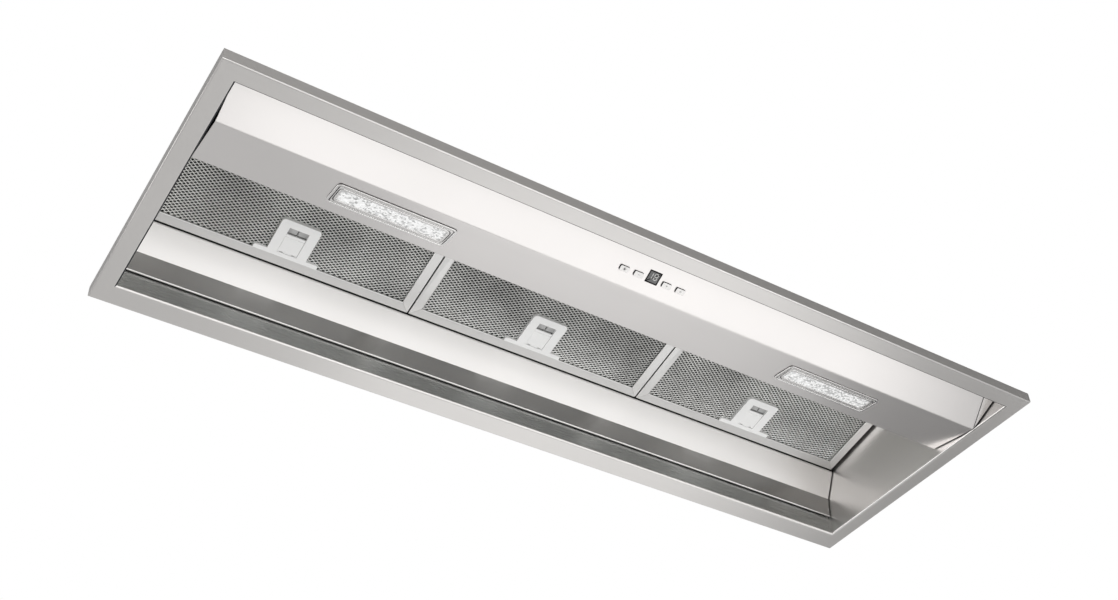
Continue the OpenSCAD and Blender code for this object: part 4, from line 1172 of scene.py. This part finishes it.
def pan_head_screw(radius=SCREW_R, height=SCREW_H, shank=2 * MM, depth=8 * MM):
    """A screw with a domed head and a cross recess, standing on the plane of its seat."""
    arm, slot = 0.62 * radius, 0.17 * radius
    bm = bmesh.new()
    rim = bmesh.ops.create_circle(bm, segments=12, radius=radius)["verts"]
    move(bm, rim, z=height)
    grid = bmesh.ops.create_grid(bm, x_segments=3, y_segments=3, size=1.5)["verts"]
    for vert in grid:
        for axis in (X, Y):
            vert.co[axis] = math.copysign(arm if abs(vert.co[axis]) > 1 else slot, vert.co[axis])
        vert.co.z = height
    corners = [f for f in bm.faces if min(abs(c) for c in f.calc_center_median().xy) > slot]
    bmesh.ops.delete(bm, geom=corners, context="FACES")
    cross = bm.faces[:]
    bmesh.ops.bridge_loops(bm, edges=[e for e in bm.edges if e.is_boundary or e.is_wire])
    floor = pull_out(bm, cross, -0.55 * height, keep=False)
    bmesh.ops.scale(bm, verts=floor, vec=(0.7, 0.7, 1))
    side = [e for e in bm.edges if e.is_boundary]
    for size, z in ((radius, 0), (shank, 0), (shank, -depth + shank), (0.1 * shank, -depth)):
        below = bmesh.ops.extrude_edge_only(bm, edges=side)["geom"]
        for vert in verts_in(below):
            flat = vert.co.xy.normalized() * size
            vert.co = (flat.x, flat.y, z)
        side = edges_in(below)
    bmesh.ops.holes_fill(bm, edges=side, sides=0)
    bmesh.ops.recalc_face_normals(bm, faces=bm.faces)
    round_where(bm, lambda c: is_near(c.z, height) and is_near(c.xy.length, radius), 0.45 * height, 3)
    return bm


def screw_set():
    """All the screws, each turned a little differently."""
    places = copy_of("screws")
    tops = []
    for group in islands(places):
        low, high = (Vector([pick(v.co[i] for v in group) for i in range(3)]) for pick in (min, max))
        tops.append(Vector(((low.x + high.x) / 2, (low.y + high.y) / 2, high.z - SCREW_H)))
    places.free()
    tops.sort(key=lambda top: (round(top.z, 4), round(top.x, 4), round(top.y, 4)))
    bm = bmesh.new()
    for number, top in enumerate(tops):
        turn = Matrix.Rotation(number * SCREW_TURN, 4, "Z")
        join_into(bm, pan_head_screw(), Matrix.Translation(top) @ turn)
    make_piece("pan_head_screws", bm, "hood", ["plated steel"], ["screws"])


def build_fixings():
    dress("hanger_brackets", "hanging_brackets", "zinc plate", edge=0.4 * MM)
    screw_set()


# Studio


def room_light(strength):
    """White behind the hood and in its reflections, and a plain soft light on it."""
    world = bpy.data.worlds.new("Studio")
    bpy.context.scene.world = world
    world.use_nodes = True
    nodes, links = world.node_tree.nodes, world.node_tree.links
    rays = nodes.new("ShaderNodeLightPath")
    is_white = rays.outputs["Is Camera Ray"]
    for kind in ("Is Glossy Ray", "Is Transmission Ray"):
        either = nodes.new("ShaderNodeMath")
        either.operation = "MAXIMUM"
        links.new(is_white, either.inputs[0])
        links.new(rays.outputs[kind], either.inputs[1])
        is_white = either.outputs[0]
    mix = nodes.new("ShaderNodeMix")
    mix.data_type = "RGBA"
    links.new(is_white, mix.inputs[0])
    mix.inputs[6].default_value = (strength, strength, strength, 1)
    mix.inputs[7].default_value = (1, 1, 1, 1)
    links.new(mix.outputs[2], nodes["Background"].inputs["Color"])
    nodes["Background"].inputs["Strength"].default_value = 1


def stage_sheet(name, place, finish):
    """A flat sheet, stretched and put in its place by a matrix, that belongs to the studio."""
    bm = bmesh.new()
    bmesh.ops.create_grid(bm, x_segments=1, y_segments=1, size=0.5, matrix=place)
    mesh = mesh_of(name, bm)
    mesh.materials.append(finish.material)
    sheet = put_in_scene(name, mesh)
    return sheet


def pale_floor(drop, size, tint):
    finish = Finish("floor paint", Roughness=0.8, Specular_IOR_Level=0.2)
    finish.shade(Base_Color=finish.clouded(tint, 1.5, 0.98))
    place = Matrix.Translation((0, 0, -drop)) @ Matrix.Diagonal((size, size, 1, 1))
    stage_sheet("pale_floor", place, finish)


def soft_light(name, place, target, width, depth, watts):
    """A rectangular light that the camera doesn't see."""
    data = bpy.data.lights.new(name, "AREA")
    data.shape = "RECTANGLE"
    data.size, data.size_y = width, depth
    data.energy = watts
    light = put_in_scene(name, data)
    light.location = place
    light.rotation_mode = "QUATERNION"
    light.rotation_quaternion = (Vector(target) - Vector(place)).to_track_quat("-Z", "Y")
    light.visible_camera = False


def grey_card(name, place, target, width, depth, tint, far_share):
    """A card that only reflections and shadows show, which may get darker towards the right."""
    turn = (Vector(target) - Vector(place)).to_track_quat("Z", "Y").to_matrix().to_4x4()
    finish = Finish(name, Roughness=0.9, Specular_IOR_Level=0.1)
    across = finish.add("ShaderNodeSeparateXYZ", {0: finish.place()}, "X")
    finish.shade(Base_Color=finish.mix(finish.spread(across, 0, 1, 0.6, 2.8), tint, toned(tint, far_share)))
    stretch = Matrix.Diagonal((width, depth, 1, 1))
    stage_sheet(name, Matrix.Translation(place) @ turn @ stretch, finish).visible_camera = False


def photograph_camera():
    """The camera where the photograph was taken, below the hood and left of it, looking up."""
    data = bpy.data.cameras.new("Camera")
    data.sensor_width = SENSOR_W
    data.lens = FOCAL_L
    data.clip_end = 100
    turn = Matrix((CAMERA_RIGHT, CAMERA_RIGHT.cross(CAMERA_AHEAD), -CAMERA_AHEAD)).transposed()
    camera = put_in_scene("Camera", data)
    camera.location = CAMERA_PLACE
    camera.rotation_mode = "QUATERNION"
    camera.rotation_quaternion = turn.to_quaternion().normalized()
    bpy.context.scene.camera = camera


def build_studio():
    scene = bpy.context.scene
    studio = scene.hood_studio
    scene.view_settings.view_transform = "Standard"
    room_light(studio.room)
    pale_floor(studio.floor_drop, studio.floor_size, studio.floor)
    for side, settings in LIGHTS.items():
        soft_light(f"{side.capitalize()} light", *settings, getattr(studio, f"{side}_light"))
    for name, (place, target, width, depth, tint, far_share) in CARDS.items():
        grey_card(name, place, target, width, depth, getattr(studio, tint), far_share)
    photograph_camera()


# Operators


class HOOD_OT_studio(bpy.types.Operator):
    """Make the floor, the lights and the camera"""

    bl_idname = "hood.studio"
    bl_label = "Studio"
    bl_options = {"REGISTER", "UNDO"}

    def execute(self, context):
        build_studio()
        return {"FINISHED"}


class HOOD_OT_tray(bpy.types.Operator):
    """Make the flange and the walls of the tray"""

    bl_idname = "hood.tray"
    bl_label = "Tray"
    bl_options = {"REGISTER", "UNDO"}

    def execute(self, context):
        build_tray()
        return {"FINISHED"}


class HOOD_OT_bar(bpy.types.Operator):
    """Make the folded light bar and what closes it"""

    bl_idname = "hood.bar"
    bl_label = "Light bar"
    bl_options = {"REGISTER", "UNDO"}

    def execute(self, context):
        build_bar()
        return {"FINISHED"}


class HOOD_OT_lamps(bpy.types.Operator):
    """Make the two lamps"""

    bl_idname = "hood.lamps"
    bl_label = "Lamps"
    bl_options = {"REGISTER", "UNDO"}

    def execute(self, context):
        build_lamps()
        return {"FINISHED"}


class HOOD_OT_controls(bpy.types.Operator):
    """Make the buttons, the display and their board"""

    bl_idname = "hood.controls"
    bl_label = "Controls"
    bl_options = {"REGISTER", "UNDO"}

    def execute(self, context):
        build_controls()
        return {"FINISHED"}


class HOOD_OT_baffle(bpy.types.Operator):
    """Make the baffle behind the filters and the strips that hold them"""

    bl_idname = "hood.baffle"
    bl_label = "Baffle"
    bl_options = {"REGISTER", "UNDO"}

    def execute(self, context):
        build_baffle()
        return {"FINISHED"}


class HOOD_OT_filters(bpy.types.Operator):
    """Make the three filters with their latches"""

    bl_idname = "hood.filters"
    bl_label = "Filters"
    bl_options = {"REGISTER", "UNDO"}

    def execute(self, context):
        build_filters()
        return {"FINISHED"}


class HOOD_OT_electrics(bpy.types.Operator):
    """Make the driver, the junction box and the capacitor"""

    bl_idname = "hood.electrics"
    bl_label = "Electrics"
    bl_options = {"REGISTER", "UNDO"}

    def execute(self, context):
        build_electrics()
        return {"FINISHED"}


class HOOD_OT_blower(bpy.types.Operator):
    """Make the fan, its housing and the duct collar"""

    bl_idname = "hood.blower"
    bl_label = "Blower"
    bl_options = {"REGISTER", "UNDO"}

    def execute(self, context):
        build_blower()
        return {"FINISHED"}


class HOOD_OT_fixings(bpy.types.Operator):
    """Make the hanging brackets and the screws"""

    bl_idname = "hood.fixings"
    bl_label = "Fixings"
    bl_options = {"REGISTER", "UNDO"}

    def execute(self, context):
        build_fixings()
        return {"FINISHED"}


OPERATORS = (
    HOOD_OT_studio, HOOD_OT_tray, HOOD_OT_bar, HOOD_OT_lamps, HOOD_OT_controls, HOOD_OT_baffle,
    HOOD_OT_filters, HOOD_OT_electrics, HOOD_OT_blower, HOOD_OT_fixings,
)


class HOOD_PT_panel(bpy.types.Panel):
    """Lists the steps that build the hood"""

    bl_idname = "HOOD_PT_panel"
    bl_label = "Range Hood Insert"
    bl_space_type = "VIEW_3D"
    bl_region_type = "UI"
    bl_category = "Hood"

    def draw(self, context):
        for operator in OPERATORS:
            self.layout.operator(operator.bl_idname)
        for group in (context.scene.hood_sizes, context.scene.hood_colours, context.scene.hood_studio):
            box = self.layout.box()
            for name in group.__annotations__:
                box.prop(group, name)


CLASSES = (HoodSizes, HoodColours, HoodStudio, *OPERATORS, HOOD_PT_panel)


def register():
    for cls in CLASSES:
        bpy.utils.register_class(cls)
    bpy.types.Scene.hood_sizes = PointerProperty(type=HoodSizes)
    bpy.types.Scene.hood_colours = PointerProperty(type=HoodColours)
    bpy.types.Scene.hood_studio = PointerProperty(type=HoodStudio)


def unregister():
    del bpy.types.Scene.hood_studio
    del bpy.types.Scene.hood_colours
    del bpy.types.Scene.hood_sizes
    for cls in reversed(CLASSES):
        bpy.utils.unregister_class(cls)


def main():
    register()
    bpy.ops.hood.studio()
    bpy.ops.hood.tray()
    bpy.ops.hood.bar()
    bpy.ops.hood.lamps()
    bpy.ops.hood.controls()
    bpy.ops.hood.baffle()
    bpy.ops.hood.filters()
    bpy.ops.hood.electrics()
    bpy.ops.hood.blower()
    bpy.ops.hood.fixings()


if __name__ == "__main__":
    main()
